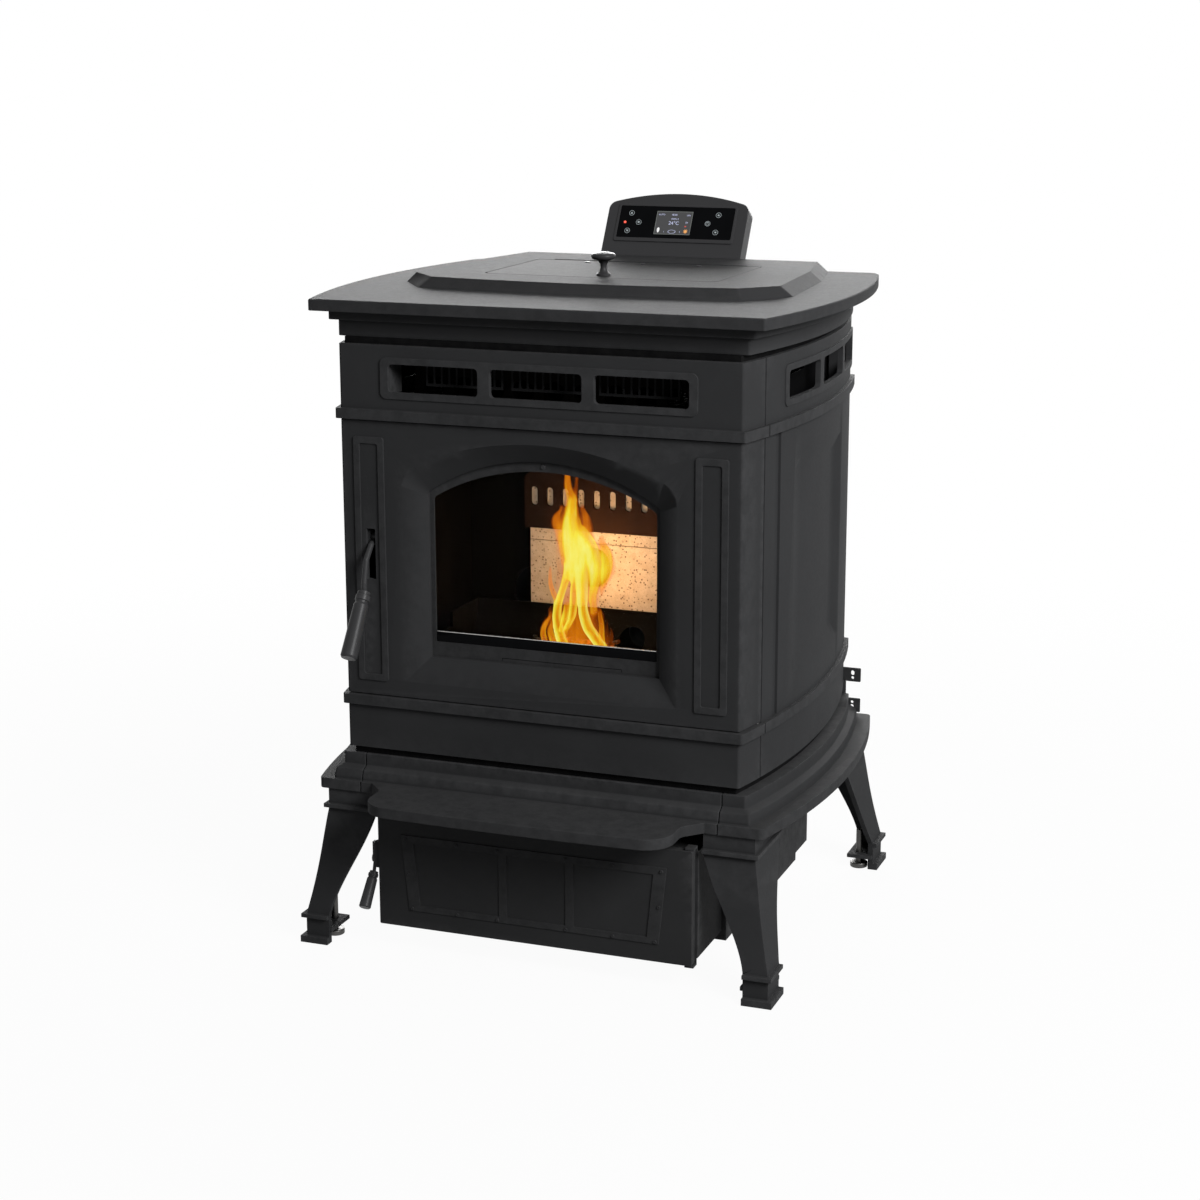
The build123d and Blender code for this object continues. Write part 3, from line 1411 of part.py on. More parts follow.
def make_impeller():
    middle = (fan_front + fan_back) / 2
    front, back = middle - fan_wheel_width / 2, middle + fan_wheel_width / 2
    hub = rearward(flue_x, fan_z, front, back, fan_hub)
    disc = rearward(flue_x, fan_z, back - fan_disc, back, fan_wheel_radius)
    shaft = rearward(flue_x, fan_z, middle, fan_back + fan_shaft_tail, fan_shaft)
    length = fan_wheel_radius - fan_hub + 4
    blade = Pos(fan_wheel_radius - length / 2 - 1, 0, 0) * Box(length, fan_wheel_width, fan_disc)
    blades = []
    for number in range(fan_blades):
        blades.append(Pos(flue_x, middle, fan_z) * Rot(0, number * 360 / fan_blades, 0) * blade)
    keep("exhaust_impeller", merged(hub, disc, shaft, *blades))


def beaded_pipe(x, z, start, end, radius, wall):
    """Pipe through the rear panel with a stop bead just behind it."""
    pipe = rearward(x, z, start, end, radius)
    pipe += rearward(x, z, bead_y, bead_y + bead_width, radius + bead_rise)
    return pipe - rearward(x, z, start - 1, end + 1, radius - wall)


def make_convection():
    axis = Pos(0, drum_y, drum_z) * Rot(0, 90, 0)
    neck_front, neck_back = drum_y, drum_y + drum_radius
    housing = axis * Cylinder(drum_radius, 2 * drum_half)
    housing += span(-drum_half, drum_half, neck_front, neck_back, drum_z, body_bottom)
    inside = axis * Cylinder(drum_radius - sheet, 2 * drum_half - 2 * sheet)
    half = drum_half - sheet
    inside += span(-half, half, neck_front + sheet, neck_back - sheet, drum_z, body_bottom + 1)
    housing -= inside
    for side, radius in ((-1, drum_inlet), (1, drum_shaft + running_gap)):
        housing -= Pos(side * drum_half, 0, 0) * axis * Cylinder(radius, 10)
    half, low, high = drum_half - drum_foot_inset, cabinet_bottom + sheet, drum_z - drum_radius + 14
    feet = span(-half, half, drum_y - drum_foot_half, drum_y + drum_foot_half, low, high)
    feet -= axis * Cylinder(drum_radius - sheet / 2, 2 * drum_half)
    keep("convection_blower", merged(housing, feet))

    length, radius = drum_wheel_half, drum_wheel_radius
    ring = axis * Cylinder(radius, 4) - axis * Cylinder(radius - drum_ring, 5)
    disc = axis * Cylinder(radius, 3)
    shaft_end = drum_half + drum_shaft_tail
    shaft = tube_along((-length + 3, drum_y, drum_z), (shaft_end, drum_y, drum_z), drum_shaft)
    pieces = [Pos(-length + 2, 0, 0) * ring, Pos(length - 2, 0, 0) * disc, disc, shaft]
    blade = Pos(0, 0, radius - drum_blade_depth / 2 - 0.5) * Box(2 * length, 2, drum_blade_depth)
    for number in range(drum_blades):
        pieces.append(Pos(0, drum_y, drum_z) * Rot(number * 360 / drum_blades, 0, 0) * blade)
    keep("convection_wheel", merged(*pieces))


# ---------------------------------------------------------------- rear panel and power inlet
def make_rear():
    y0, y1 = body_depth, body_depth + panel_thickness
    half = body_half - panel_margin
    panel = rounded_block(-half, half, body_bottom, body_top - panel_margin, y0, y1, panel_round)
    root = half - ear_root
    for side in (-1, 1):
        for way in (-1, 1):
            panel += rear_ear(side, way, root)
        x0, x1 = sorted((side * root, side * (body_half + ear_strip)))
        low, high = ear_middle - ear_spread - ear_height / 2, body_bottom + ear_root
        panel += rounded_block(x0, x1, low, high, y0, y0 + ear_thickness, ear_round)
        for way in (-1, 1):
            panel -= ear_holes(side, way)
    for number in range(panel_vent_rows):
        z, high = panel_vent_top - number * panel_vent_pitch, panel_vent_height / 2
        reach = panel_vent_half
        panel -= rounded_block(-reach, reach, z - high, z + high, y0 - 1, y1 + 1, high * 0.96)
    for x, z, radius in ((flue_x, flue_z, flue_radius), (intake_x, intake_z, intake_radius)):
        panel -= rearward(x, z, y0 - 9, y0 + 9, radius + slide_gap)
    x0, x1 = inlet_x - inlet_half + inlet_border, inlet_x + inlet_half - inlet_border
    rim = inlet_rim
    z0, z1 = inlet_z - inlet_height / 2 + rim, inlet_z + inlet_height / 2 - rim
    panel -= rounded_block(x0, x1, z0, z1, y0 - 1, y1 + 1, 2)
    keep("rear_panel", panel)

    gap, foot = seat_gap / 2, y0 - inlet_depth
    flange = rounded_block(inlet_x - inlet_half, inlet_x + inlet_half, z0 - rim, z1 + rim, y1, y1 + rim, 4)
    can = rounded_block(x0 + gap, x1 - gap, z0 + gap, z1 - gap, foot, y1 + 1, 2)
    socket = merged(flange, can)
    socket -= rounded_block(x0 + rim, x1 - rim, z0 + rim, z1 - rim, foot + 4, y1 + rim + 1, 2)
    for number in (-1, 0, 1):
        x = inlet_x + number * blade_pitch
        socket += span(x - 1, x + 1, foot + 3, y1 - 4, inlet_z - 2, inlet_z + 2)
    keep("power_inlet", socket)


def rear_ear(side, way, root):
    """Screw ear beside the rear panel; way is 1 for the upper ear and -1 for the lower one."""
    x0, x1 = sorted((side * root, side * (body_half + ear_reach)))
    z = ear_middle + way * ear_spread
    low, high = z - ear_height / 2, z + ear_height / 2
    return rounded_block(x0, x1, low, high, body_depth, body_depth + ear_thickness, ear_round)


def ear_holes(side, way):
    """Round screw hole and the oval hole beyond it."""
    x, z = side * ear_hole_x, ear_middle + way * ear_spread
    y0, y1 = body_depth - 1, body_depth + ear_thickness + 1
    round_hole = rearward(x, z - way * ear_hole_inset, y0, y1, ear_hole_radius)
    half, high, z = ear_oval_width / 2, ear_oval_height / 2, z + way * ear_oval_inset
    return round_hole + rounded_block(x - half, x + half, z - high, z + high, y0, y1, half * 0.98)


# ---------------------------------------------------------------- ash vault, pan and door
def make_lower_cabinet():
    cabinet = cabinet_outside() - cabinet_inside()
    half, front, border = vault_half - vault_lip, vault_front(), vault_lip
    low, high = vault_bottom + 6, vault_top - border
    cabinet -= span(-half, half, front - 1, front + sheet + 1, low, high)
    for number in range(intake_slots):
        z = drum_z + (number - (intake_slots - 1) / 2) * intake_slot_pitch
        reach, high = intake_slot_half, intake_slot_height / 2
        y0, y1 = cabinet_back - 9, cabinet_back + 9
        cabinet -= rounded_block(-reach, reach, z - high, z + high, y0, y1, high * 0.95)
    keep("lower_cabinet", merged(cabinet, ash_hinge(-1), ash_hinge(1)))


def vault_front():
    return ash_door_front + ash_door_depth + ash_door_gap


def cabinet_outside():
    half, front = vault_half, vault_front()
    shape = span(-half, half, front, cabinet_front + sheet, vault_bottom, vault_top)
    half = cabinet_half
    shape += span(-half, half, cabinet_front, cabinet_step_y, cabinet_bottom, vault_top)
    low = cabinet_bottom + cabinet_step
    shape += span(-half, half, cabinet_step_y - 1, cabinet_back, low, vault_top)
    half, back = floor_hole_half, floor_hole_back + neck_extra
    return shape + span(-half, half, floor_hole_front, back, vault_top - 1, riser_top)


def cabinet_inside():
    wall, middle = sheet, vault_back
    high = vault_top - wall
    half, front = vault_half - wall, vault_front() + wall
    shape = span(-half, half, front, middle, vault_bottom + wall, high)
    half = cabinet_half - wall
    shape += span(-half, half, middle + wall, cabinet_step_y, cabinet_bottom + wall, high)
    low = cabinet_bottom + cabinet_step + wall
    shape += span(-half, half, cabinet_step_y - 2, cabinet_back - wall, low, high)
    half, back = floor_hole_half - wall, floor_hole_back + neck_extra - wall
    shape += span(-half, half, middle + wall, back, high - wall, riser_top + 1)
    shape += span(-half, half, floor_hole_front + wall, middle, vault_top, riser_top + 1)
    half, front, back = chute_half - wall, chute_front + wall, chute_back - wall
    return shape + span(-half, half, front, back, high - wall, vault_top + 1)


def ash_hinge(way):
    """Tab and pin that carry one end of the ash door; way is 1 for the upper end."""
    x, y = ash_axis()
    end = ash_door_top if way > 0 else ash_door_bottom
    near, far, root = end + way * slide_gap / 2, end + way * ash_tab, end - way * ash_pin_length
    x0, x1, front = x - ash_tab_inner, x + ash_tab_outer, vault_front()
    tab = span(x0, x1, y - ash_tab_outer, front + sheet, min(near, far), max(near, far))
    web_end = vault_top - 2 if way > 0 else vault_bottom + 2
    web = span(x0, x1, front, front + sheet, min(far, web_end), max(far, web_end))
    pin = Pos(x, y, (root + far) / 2) * Cylinder(ash_pin_radius, ash_pin_length + ash_tab)
    return merged(tab, web, pin)


def ash_axis():
    return (ash_door_half - ash_axis_inset, ash_door_front + ash_door_depth - ash_axis_inset)


def ash_trapezoid(bottom_half, top_half, bottom, top):
    corners = ((-bottom_half, bottom), (bottom_half, bottom), (top_half, top), (-top_half, top))
    return make_face(Polyline(*corners, close=True))


def make_ash_door():
    half, low, high = ash_door_half, ash_door_bottom, ash_door_top
    y0, y1 = ash_door_front, ash_door_front + ash_door_depth
    door = rounded_block(-half, half, low, high, y0, y1, 2)
    skin = ash_door_skin
    hollow = rounded_block(-half + skin, half - skin, low + skin, high - skin, y0 + skin, y1 + 1, 1)
    axis_x, axis_y = ash_axis()
    boss = span(axis_x - ash_boss, half - 1, y0 + 1, y1, low + 0.5, high - 0.5)
    end = ash_pin_length + 4
    boss -= span(axis_x - ash_boss - 1, half + 1, y0 - 1, y1 + 1, low + end, high - end)
    door = merged(door - hollow, boss, ash_panel_frame(), ash_lever_bracket())
    length = ash_pin_length + 2 * slide_gap
    for middle in (low + ash_pin_length / 2, high - ash_pin_length / 2):
        door -= Pos(axis_x, axis_y, middle) * Cylinder(ash_pin_radius + running_gap, length)
    keep("ash_door", door)


def ash_panel_frame():
    """Raised trapezoid border and bars on the door's face."""
    low, high = ash_panel_bottom, ash_panel_top
    border = ash_trapezoid(ash_panel_bottom_half, ash_panel_top_half, low, high)
    slope = (ash_panel_top_half - ash_panel_bottom_half) / (high - low)
    bottom = ash_panel_bottom_half - ash_window_inset + slope * (ash_window_bottom - low)
    top = bottom + slope * (ash_window_top - ash_window_bottom)
    window = ash_trapezoid(bottom, top, ash_window_bottom, ash_window_top)
    for x in ash_bar_places:
        window -= Pos(x, (ash_window_bottom + ash_window_top) / 2) * Rectangle(ash_bar_width, high)
    return extrude(facing(ash_door_front + 0.5) * (border - window), amount=ash_panel_rise + 0.5)


def ash_lever_bracket():
    """Bracket and pin beside the door that carry its latch."""
    x, y, z = ash_lever_x, ash_lever_y, ash_lever_z
    half = ash_lever_bar / 2
    inner = x + half + lever_play
    back = ash_door_front + ash_door_depth
    bracket = span(inner, -ash_door_half + 1, y - 9, back, z - ash_bracket_low, z + ash_bracket_high)
    pin = tube_along((x - half - 1, y, z), (inner + 2, y, z), lever_pin_radius)
    return merged(bracket, pin)


def make_ash_latch():
    x, y, z = ash_lever_x, ash_lever_y, ash_lever_z
    half = ash_lever_bar / 2
    hub = Pos(x, y, z) * Rot(0, 90, 0) * Cylinder(ash_lever_hub, ash_lever_bar)
    arm = span(x - half, x + half, y - 4, y + 4, z, z + ash_lever_arm)
    start = (y - 6, z - 20)
    finish = along_lean(*start, ash_grip_lean, 6)
    rod = rod_through([(y, z), start, finish], x, half)
    lever = merged(hub, arm, rod)
    lever -= Pos(x, y, z) * Rot(0, 90, 0) * Cylinder(lever_pin_radius + running_gap, 4 * ash_lever_bar)
    grip = grip_body(ash_grip_radius, ash_grip_length, 1.0, 2.0)
    grip = Pos(x, *start) * Rot(-ash_grip_lean, 0, 0) * grip
    keep("ash_latch", merged(lever, grip))


def make_ash_pan():
    floor, half, wall = vault_bottom + sheet, pan_half, pan_wall
    top = floor + pan_height
    pan = span(-half, half, pan_front, pan_back, floor, top)
    pan -= span(-half + wall, half - wall, pan_front + wall, pan_back - wall, floor + wall, top + 1)
    y, z, reach, rod = pan_front - pan_handle, floor + pan_height * 0.6, pan_handle_half, pan_handle_rod
    bar = tube_along((-reach, y, z), (reach, y, z), rod)
    for x in (-reach, reach):
        bar += tube_along((x, y, z), (x, pan_front + 1, z), rod)
        bar += Pos(x, y, z) * Sphere(rod)
    keep("ash_pan", merged(pan, bar))


make_base()
make_legs()
make_front_bands()
make_sides()
make_cabinet_shell()
make_door()
make_top()
make_deck()
make_lid()
make_console()
make_door_latch()
make_firebox()
make_trough()
make_feed()
make_hopper()
make_exchanger()
make_grille()
make_exhaust()
make_convection()
make_rear()
make_lower_cabinet()
make_ash_door()
make_ash_latch()
make_ash_pan()

for node, shape in parts.items():
    export_step(shape, "parts/" + node + ".step")
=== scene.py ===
import json
import math
import random

import bpy
from mathutils import Matrix, Vector

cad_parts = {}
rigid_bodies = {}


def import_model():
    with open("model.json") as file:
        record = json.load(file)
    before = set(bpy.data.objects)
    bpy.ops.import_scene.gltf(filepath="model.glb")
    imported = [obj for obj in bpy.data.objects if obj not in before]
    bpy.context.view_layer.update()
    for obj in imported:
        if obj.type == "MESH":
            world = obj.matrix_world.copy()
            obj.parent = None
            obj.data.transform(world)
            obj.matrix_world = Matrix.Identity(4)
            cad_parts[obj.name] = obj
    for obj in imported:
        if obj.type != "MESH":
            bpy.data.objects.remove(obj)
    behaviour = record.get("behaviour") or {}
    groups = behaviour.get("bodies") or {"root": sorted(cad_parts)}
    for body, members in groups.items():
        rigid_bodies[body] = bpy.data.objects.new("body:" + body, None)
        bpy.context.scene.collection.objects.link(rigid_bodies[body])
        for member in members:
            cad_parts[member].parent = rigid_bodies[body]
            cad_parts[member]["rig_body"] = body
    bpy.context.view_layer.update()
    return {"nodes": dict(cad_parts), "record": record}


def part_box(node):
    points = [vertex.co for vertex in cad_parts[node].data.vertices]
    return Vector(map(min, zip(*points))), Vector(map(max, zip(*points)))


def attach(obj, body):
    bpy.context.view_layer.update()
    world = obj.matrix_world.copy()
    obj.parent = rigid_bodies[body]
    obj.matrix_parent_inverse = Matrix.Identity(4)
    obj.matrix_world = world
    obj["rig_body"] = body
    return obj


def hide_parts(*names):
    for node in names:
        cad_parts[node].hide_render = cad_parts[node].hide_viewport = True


bpy.ops.object.select_all(action="SELECT")
bpy.ops.object.delete()  # the start-up cube, lamp and camera
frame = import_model()
nodes = frame["nodes"]
mm = 0.001
print("frame loaded", len(nodes), "nodes")


# helpers for modelling

def deselectAll():
    if bpy.context.object and bpy.context.object.mode != "OBJECT":
        bpy.ops.object.mode_set(mode="OBJECT")
    bpy.ops.object.select_all(action="DESELECT")


def pick(piece):
    deselectAll()
    piece.select_set(True)
    bpy.context.view_layer.objects.active = piece


def editAll(piece):
    pick(piece)
    bpy.ops.object.mode_set(mode="EDIT")
    bpy.ops.mesh.select_all(action="SELECT")


def leaveEdit():
    bpy.ops.object.mode_set(mode="OBJECT")


# in edit mode: select the faces whose centre and normal pass the test
def selectFaces(piece, test):
    leaveEdit()
    for edge in piece.data.edges:
        edge.select = False
    for vertex in piece.data.vertices:
        vertex.select = False
    for face in piece.data.polygons:
        face.select = test(face.center, face.normal)
    bpy.ops.object.mode_set(mode="EDIT")


def useModifier(piece, kind, **settings):
    pick(piece)
    modifier = piece.modifiers.new(kind.title(), kind)
    for label, value in settings.items():
        setattr(modifier, label, value)
    bpy.ops.object.modifier_apply(modifier=modifier.name)


def finishPiece(piece, label, body, finish, smooth=32):
    piece.name = label
    piece.data.name = label
    pick(piece)
    bpy.ops.object.transform_apply(location=True, rotation=True, scale=True)
    bpy.ops.object.shade_smooth_by_angle(angle=math.radians(smooth))
    piece.data.materials.clear()
    piece.data.materials.append(finish)
    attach(piece, body)


def joinPieces(pieces):
    deselectAll()
    for piece in pieces:
        piece.select_set(True)
    bpy.context.view_layer.objects.active = pieces[0]
    bpy.ops.object.join()
    return bpy.context.object


# copies of one piece, each moved by its matrix, joined; the first piece is removed
def scatter(piece, matrices):
    twins = []
    for matrix in matrices:
        twin = bpy.data.objects.new(piece.name, piece.data.copy())
        bpy.context.scene.collection.objects.link(twin)
        twin.data.transform(matrix)
        twins.append(twin)
    bpy.data.objects.remove(piece)
    return joinPieces(twins) if len(twins) > 1 else twins[0]


# a block from corner to corner, in millimetres, with rounded edges
def boxPiece(low, high, edge):
    low, high = Vector(low) * mm, Vector(high) * mm
    deselectAll()
    bpy.ops.mesh.primitive_cube_add(size=1, location=(low + high) / 2)
    piece = bpy.context.object
    piece.scale = high - low
    bpy.ops.object.transform_apply(location=True, rotation=True, scale=True)
    editAll(piece)
    bpy.ops.mesh.bevel(offset=edge * mm, segments=2, affect="EDGES")
    leaveEdit()
    return piece


# corner points of a rectangle, in millimetres
def rectangle(left, right, low, high):
    return [(left, low), (right, low), (right, high), (left, high)]


# a flat plate on the floor plane with the given outline, in millimetres
def flatShape(points, height):
    mesh = bpy.data.meshes.new("plate")
    mesh.from_pydata([(x * mm, y * mm, 0) for x, y in points], [], [tuple(range(len(points)))])
    piece = bpy.data.objects.new("plate", mesh)
    bpy.context.scene.collection.objects.link(piece)
    editAll(piece)
    bpy.ops.mesh.extrude_region_move(TRANSFORM_OT_translate={"value": (0, 0, height * mm)})
    bpy.ops.mesh.select_all(action="SELECT")
    bpy.ops.mesh.normals_make_consistent(inside=False)
    leaveEdit()
    return piece


# shared shader node groups

def newGroup(label, inputs, outputs):
    group = bpy.data.node_groups.new(label, "ShaderNodeTree")
    for name, kind, value in inputs:
        socket = group.interface.new_socket(name, in_out="INPUT", socket_type="NodeSocket" + kind)
        socket.default_value = value
    for name, kind in outputs:
        group.interface.new_socket(name, in_out="OUTPUT", socket_type="NodeSocket" + kind)
    return group, group.nodes.new("NodeGroupInput"), group.nodes.new("NodeGroupOutput")


def put(tree, kind, links=None, **settings):
    node = tree.nodes.new("ShaderNode" + kind)
    for label, value in settings.items():
        setattr(node, label, value)
    for label, value in (links or {}).items():
        socket = node.inputs[label]
        if isinstance(value, bpy.types.NodeSocket):
            tree.links.new(value, socket)
        else:
            socket.default_value = value
    return node


def mixColour(tree, factor, first, second):
    node = tree.nodes.new("ShaderNodeMix")
    node.data_type = "RGBA"
    for index, value in ((0, factor), (6, first), (7, second)):
        if isinstance(value, bpy.types.NodeSocket):
            tree.links.new(value, node.inputs[index])
        elif index:
            node.inputs[index].default_value = (*value, 1.0)
        else:
            node.inputs[index].default_value = value
    return node.outputs[2]


def calc(tree, operation, first, second, third=None, clamp=False):
    node = tree.nodes.new("ShaderNodeMath")
    node.operation = operation
    node.use_clamp = clamp
    for index, value in enumerate((first, second, third)):
        if isinstance(value, bpy.types.NodeSocket):
            tree.links.new(value, node.inputs[index])
        elif value is not None:
            node.inputs[index].default_value = value
    return node.outputs[0]


def ramp(tree, value, low, high, first=0.0, last=1.0):
    node = put(tree, "MapRange", {"Value": value, "From Min": low, "From Max": high,
                                  "To Min": first, "To Max": last}, clamp=True)
    return node.outputs["Result"]


def noise(tree, place, scale, detail=2.0, rough=0.5):
    links = {"Vector": place, "Scale": scale, "Detail": detail, "Roughness": rough}
    return put(tree, "TexNoise", links).outputs["Fac"]


# fine sand-cast skin: Height for a bump, Tone for slow colour change
def makeCastGrain():
    group, start, end = newGroup("castGrain", [("Scale", "Float", 900.0)],
                                 [("Height", "Float"), ("Tone", "Float")])
    place = put(group, "TexCoord").outputs["Object"]
    fine = noise(group, place, start.outputs["Scale"], 3.0, 0.6)
    coarse = noise(group, place, calc(group, "MULTIPLY", start.outputs["Scale"], 0.22), 2.0)
    height = calc(group, "MULTIPLY_ADD", coarse, 0.5, calc(group, "MULTIPLY", fine, 0.5))
    group.links.new(height, end.inputs["Height"])
    group.links.new(noise(group, place, 7.0, 4.0, 0.6), end.inputs["Tone"])
    return group


# painted highlight on corners: 1 along convex edges, broken up by noise
def makeEdgeHighlight():
    group, start, end = newGroup("edgeHighlight", [("Reach", "Float", 0.06), ("Breaks", "Float", 60.0)],
                                 [("Mask", "Float")])
    point = put(group, "NewGeometry").outputs["Pointiness"]
    top = calc(group, "ADD", start.outputs["Reach"], 0.51)
    edge = put(group, "MapRange", {"Value": point, "From Min": 0.51, "From Max": top}, clamp=True)
    place = put(group, "TexCoord").outputs["Object"]
    spots = ramp(group, noise(group, place, start.outputs["Breaks"], 4.0, 0.65), 0.35, 0.62)
    group.links.new(calc(group, "MULTIPLY", edge.outputs["Result"], spots), end.inputs["Mask"])
    return group


# thin ash dust that lies on faces that look up
def makeDust():
    group, start, end = newGroup("ashDust", [("Amount", "Float", 0.3)], [("Mask", "Float")])
    up = put(group, "SeparateXYZ", {"Vector": put(group, "NewGeometry").outputs["Normal"]}).outputs["Z"]
    flat = ramp(group, up, 0.6, 0.95)
    place = put(group, "TexCoord").outputs["Object"]
    cloud = ramp(group, noise(group, place, 11.0, 6.0, 0.7), 0.3, 0.75)
    mask = calc(group, "MULTIPLY", calc(group, "MULTIPLY", flat, cloud), start.outputs["Amount"])
    group.links.new(mask, end.inputs["Mask"])
    return group


# soot and heat stains: Mask 0 to 1 in slow clouds with darker streaks upwards
def makeSoot():
    group, start, end = newGroup("soot", [("Scale", "Float", 9.0)], [("Mask", "Float")])
    place = put(group, "TexCoord").outputs["Object"]
    stretched = put(group, "Mapping", {"Vector": place, "Scale": (1.0, 1.0, 0.35)}).outputs["Vector"]
    mask = ramp(group, noise(group, stretched, start.outputs["Scale"], 5.0, 0.62), 0.3, 0.7)
    group.links.new(mask, end.inputs["Mask"])
    return group


# fine lines along one direction of the piece
def makeBrushed():
    group, start, end = newGroup("brushedLines", [("Stretch", "Vector", (20.0, 700.0, 700.0))],
                                 [("Height", "Float")])
    place = put(group, "TexCoord").outputs["Object"]
    lines = put(group, "Mapping", {"Vector": place, "Scale": start.outputs["Stretch"]})
    group.links.new(noise(group, lines.outputs["Vector"], 1.0, 3.0, 0.6), end.inputs["Height"])
    return group


groups = {"grain": makeCastGrain(), "edgeShine": makeEdgeHighlight(), "dust": makeDust(), "soot": makeSoot(),
          "brushed": makeBrushed()}


def useGroup(tree, label, **values):
    node = tree.nodes.new("ShaderNodeGroup")
    node.node_tree = groups[label]
    for name, value in values.items():
        node.inputs[name].default_value = value
    return node.outputs


# a material with its Principled shader, whose plain numbers sit on its own sockets
def newFinish(label, **constants):
    material = bpy.data.materials.new(label)
    material.use_nodes = True
    tree = material.node_tree
    shader = tree.nodes["Principled BSDF"]
    for name, value in constants.items():
        shader.inputs[name.replace("_", " ")].default_value = value
    return material, tree, shader


def addBump(tree, shader, height, strength, distance):
    bump = put(tree, "Bump", {"Height": height, "Strength": strength, "Distance": distance})
    tree.links.new(bump.outputs["Normal"], shader.inputs["Normal"])


# the edge keys set the painted highlight along edges: how strong its lighter colour is, and how much
# glossier the edges are
paintLook = {"deep": 0.92, "light": 1.08, "edgeShine": 0.3, "edgeGloss": 0.12, "dust": 0.03,
             "ash": (0.16, 0.15, 0.14), "gloss": 0.05, "bumpReach": 0.0004}


# stove paint: slow tone change, sand-cast grain, a painted highlight along the edges and a breath of ash
# dust
def paintedMetal(label, tone, edgeLight, roughness, grain=900.0, bump=0.25, gloss=0.025):
    material, tree, shader = newFinish(label, Specular_IOR_Level=gloss)
    skin = useGroup(tree, "grain", Scale=grain)
    edges = calc(tree, "MULTIPLY", useGroup(tree, "edgeShine")["Mask"], paintLook["edgeShine"])
    ash = useGroup(tree, "dust", Amount=paintLook["dust"])["Mask"]
    light = tuple(value * paintLook["light"] for value in tone)
    deep = tuple(value * paintLook["deep"] for value in tone)
    paint = mixColour(tree, ramp(tree, skin["Tone"], 0.3, 0.7), deep, light)
    # painted highlight: the paint turns lighter along convex edges
    paint = mixColour(tree, edges, paint, edgeLight)
    paint = mixColour(tree, ash, paint, paintLook["ash"])
    tree.links.new(paint, shader.inputs["Base Color"])
    change = paintLook["gloss"]
    sheen = ramp(tree, skin["Height"], 0.3, 0.7, roughness - change, roughness + change)
    sheen = calc(tree, "SUBTRACT", sheen, calc(tree, "MULTIPLY", edges, paintLook["edgeGloss"]))
    tree.links.new(sheen, shader.inputs["Roughness"])
    addBump(tree, shader, skin["Height"], bump, paintLook["bumpReach"])
    return material


# sheet or turned steel with fine lines and faint stains
def bareMetal(label, tone, roughness, stretch, stain=0.2):
    material, tree, shader = newFinish(label, Metallic=1.0)
    lines = useGroup(tree, "brushed", Stretch=stretch)["Height"]
    cloud = calc(tree, "MULTIPLY", useGroup(tree, "soot", Scale=14.0)["Mask"], stain)
    dark = tuple(value * 0.45 for value in tone)
    tree.links.new(mixColour(tree, cloud, tone, dark), shader.inputs["Base Color"])
    sheen = ramp(tree, lines, 0.3, 0.7, roughness - 0.07, roughness + 0.09)
    tree.links.new(sheen, shader.inputs["Roughness"])
    addBump(tree, shader, lines, 0.12, 0.0002)
    return material


# zinc-plated sheet with its spangle
def makeZinc():
    material, tree, shader = newFinish("zincSheet", Metallic=0.9)
    place = put(tree, "TexCoord").outputs["Object"]
    cells = put(tree, "TexVoronoi", {"Vector": place, "Scale": 90.0}, feature="F1")
    level = put(tree, "SeparateColor", {"Color": cells.outputs["Color"]}).outputs["Red"]
    spangle = mixColour(tree, level, (0.36, 0.37, 0.38), (0.55, 0.56, 0.57))
    tree.links.new(spangle, shader.inputs["Base Color"])
    tree.links.new(ramp(tree, level, 0.0, 1.0, 0.3, 0.48), shader.inputs["Roughness"])
    addBump(tree, shader, cells.outputs["Distance"], 0.08, 0.0005)
    return material


# firebox plate: dark steel under soot, heat-stained where the soot is thin
def makeSootedSteel(label, clean, black, roughness):
    material, tree, shader = newFinish(label, Specular_IOR_Level=0.05)
    cloud = useGroup(tree, "soot", Scale=8.0)["Mask"]
    skin = useGroup(tree, "grain", Scale=500.0)
    tree.links.new(mixColour(tree, cloud, clean, black), shader.inputs["Base Color"])
    tree.links.new(ramp(tree, cloud, 0.0, 1.0, roughness, roughness + 0.25), shader.inputs["Roughness"])
    addBump(tree, shader, skin["Height"], 0.3, 0.0005)
    return material


brickLook = {"body": (0.60, 0.435, 0.29), "pale": (0.74, 0.58, 0.42), "speck": (0.20, 0.13, 0.08)}


# tan firebrick with dark specks, pale grains and a sanded face
def makeBrick():
    material, tree, shader = newFinish("firebrick", Roughness=0.92, Specular_IOR_Level=0.1)
    place = put(tree, "TexCoord").outputs["Object"]
    cloud = ramp(tree, noise(tree, place, 60.0, 5.0, 0.7), 0.35, 0.65)
    base = mixColour(tree, cloud, brickLook["body"], brickLook["pale"])
    cells = put(tree, "TexVoronoi", {"Vector": place, "Scale": 260.0}, feature="F1")
    chosen = put(tree, "SeparateColor", {"Color": cells.outputs["Color"]}).outputs["Green"]
    small = ramp(tree, cells.outputs["Distance"], 0.42, 0.28)
    speck = calc(tree, "MULTIPLY", small, ramp(tree, chosen, 0.68, 0.78))
    fleck = ramp(tree, noise(tree, place, 900.0, 2.0), 0.62, 0.72, 0.0, 0.5)
    colour = mixColour(tree, speck, base, brickLook["speck"])
    tree.links.new(mixColour(tree, fleck, colour, brickLook["speck"]), shader.inputs["Base Color"])
    height = calc(tree, "SUBTRACT", noise(tree, place, 700.0, 4.0, 0.7), speck)
    addBump(tree, shader, height, 0.5, 0.0008)
    return material


# clear ceramic glass with the faintest smoke film in slow clouds
def makeGlass():
    material, tree, shader = newFinish("ceramicGlass", Transmission_Weight=1.0, IOR=1.045, Roughness=0.0)
    film = useGroup(tree, "soot", Scale=5.0)["Mask"]
    tint = mixColour(tree, film, (0.97, 0.965, 0.95), (0.93, 0.91, 0.88))
    tree.links.new(tint, shader.inputs["Base Color"])
    return material


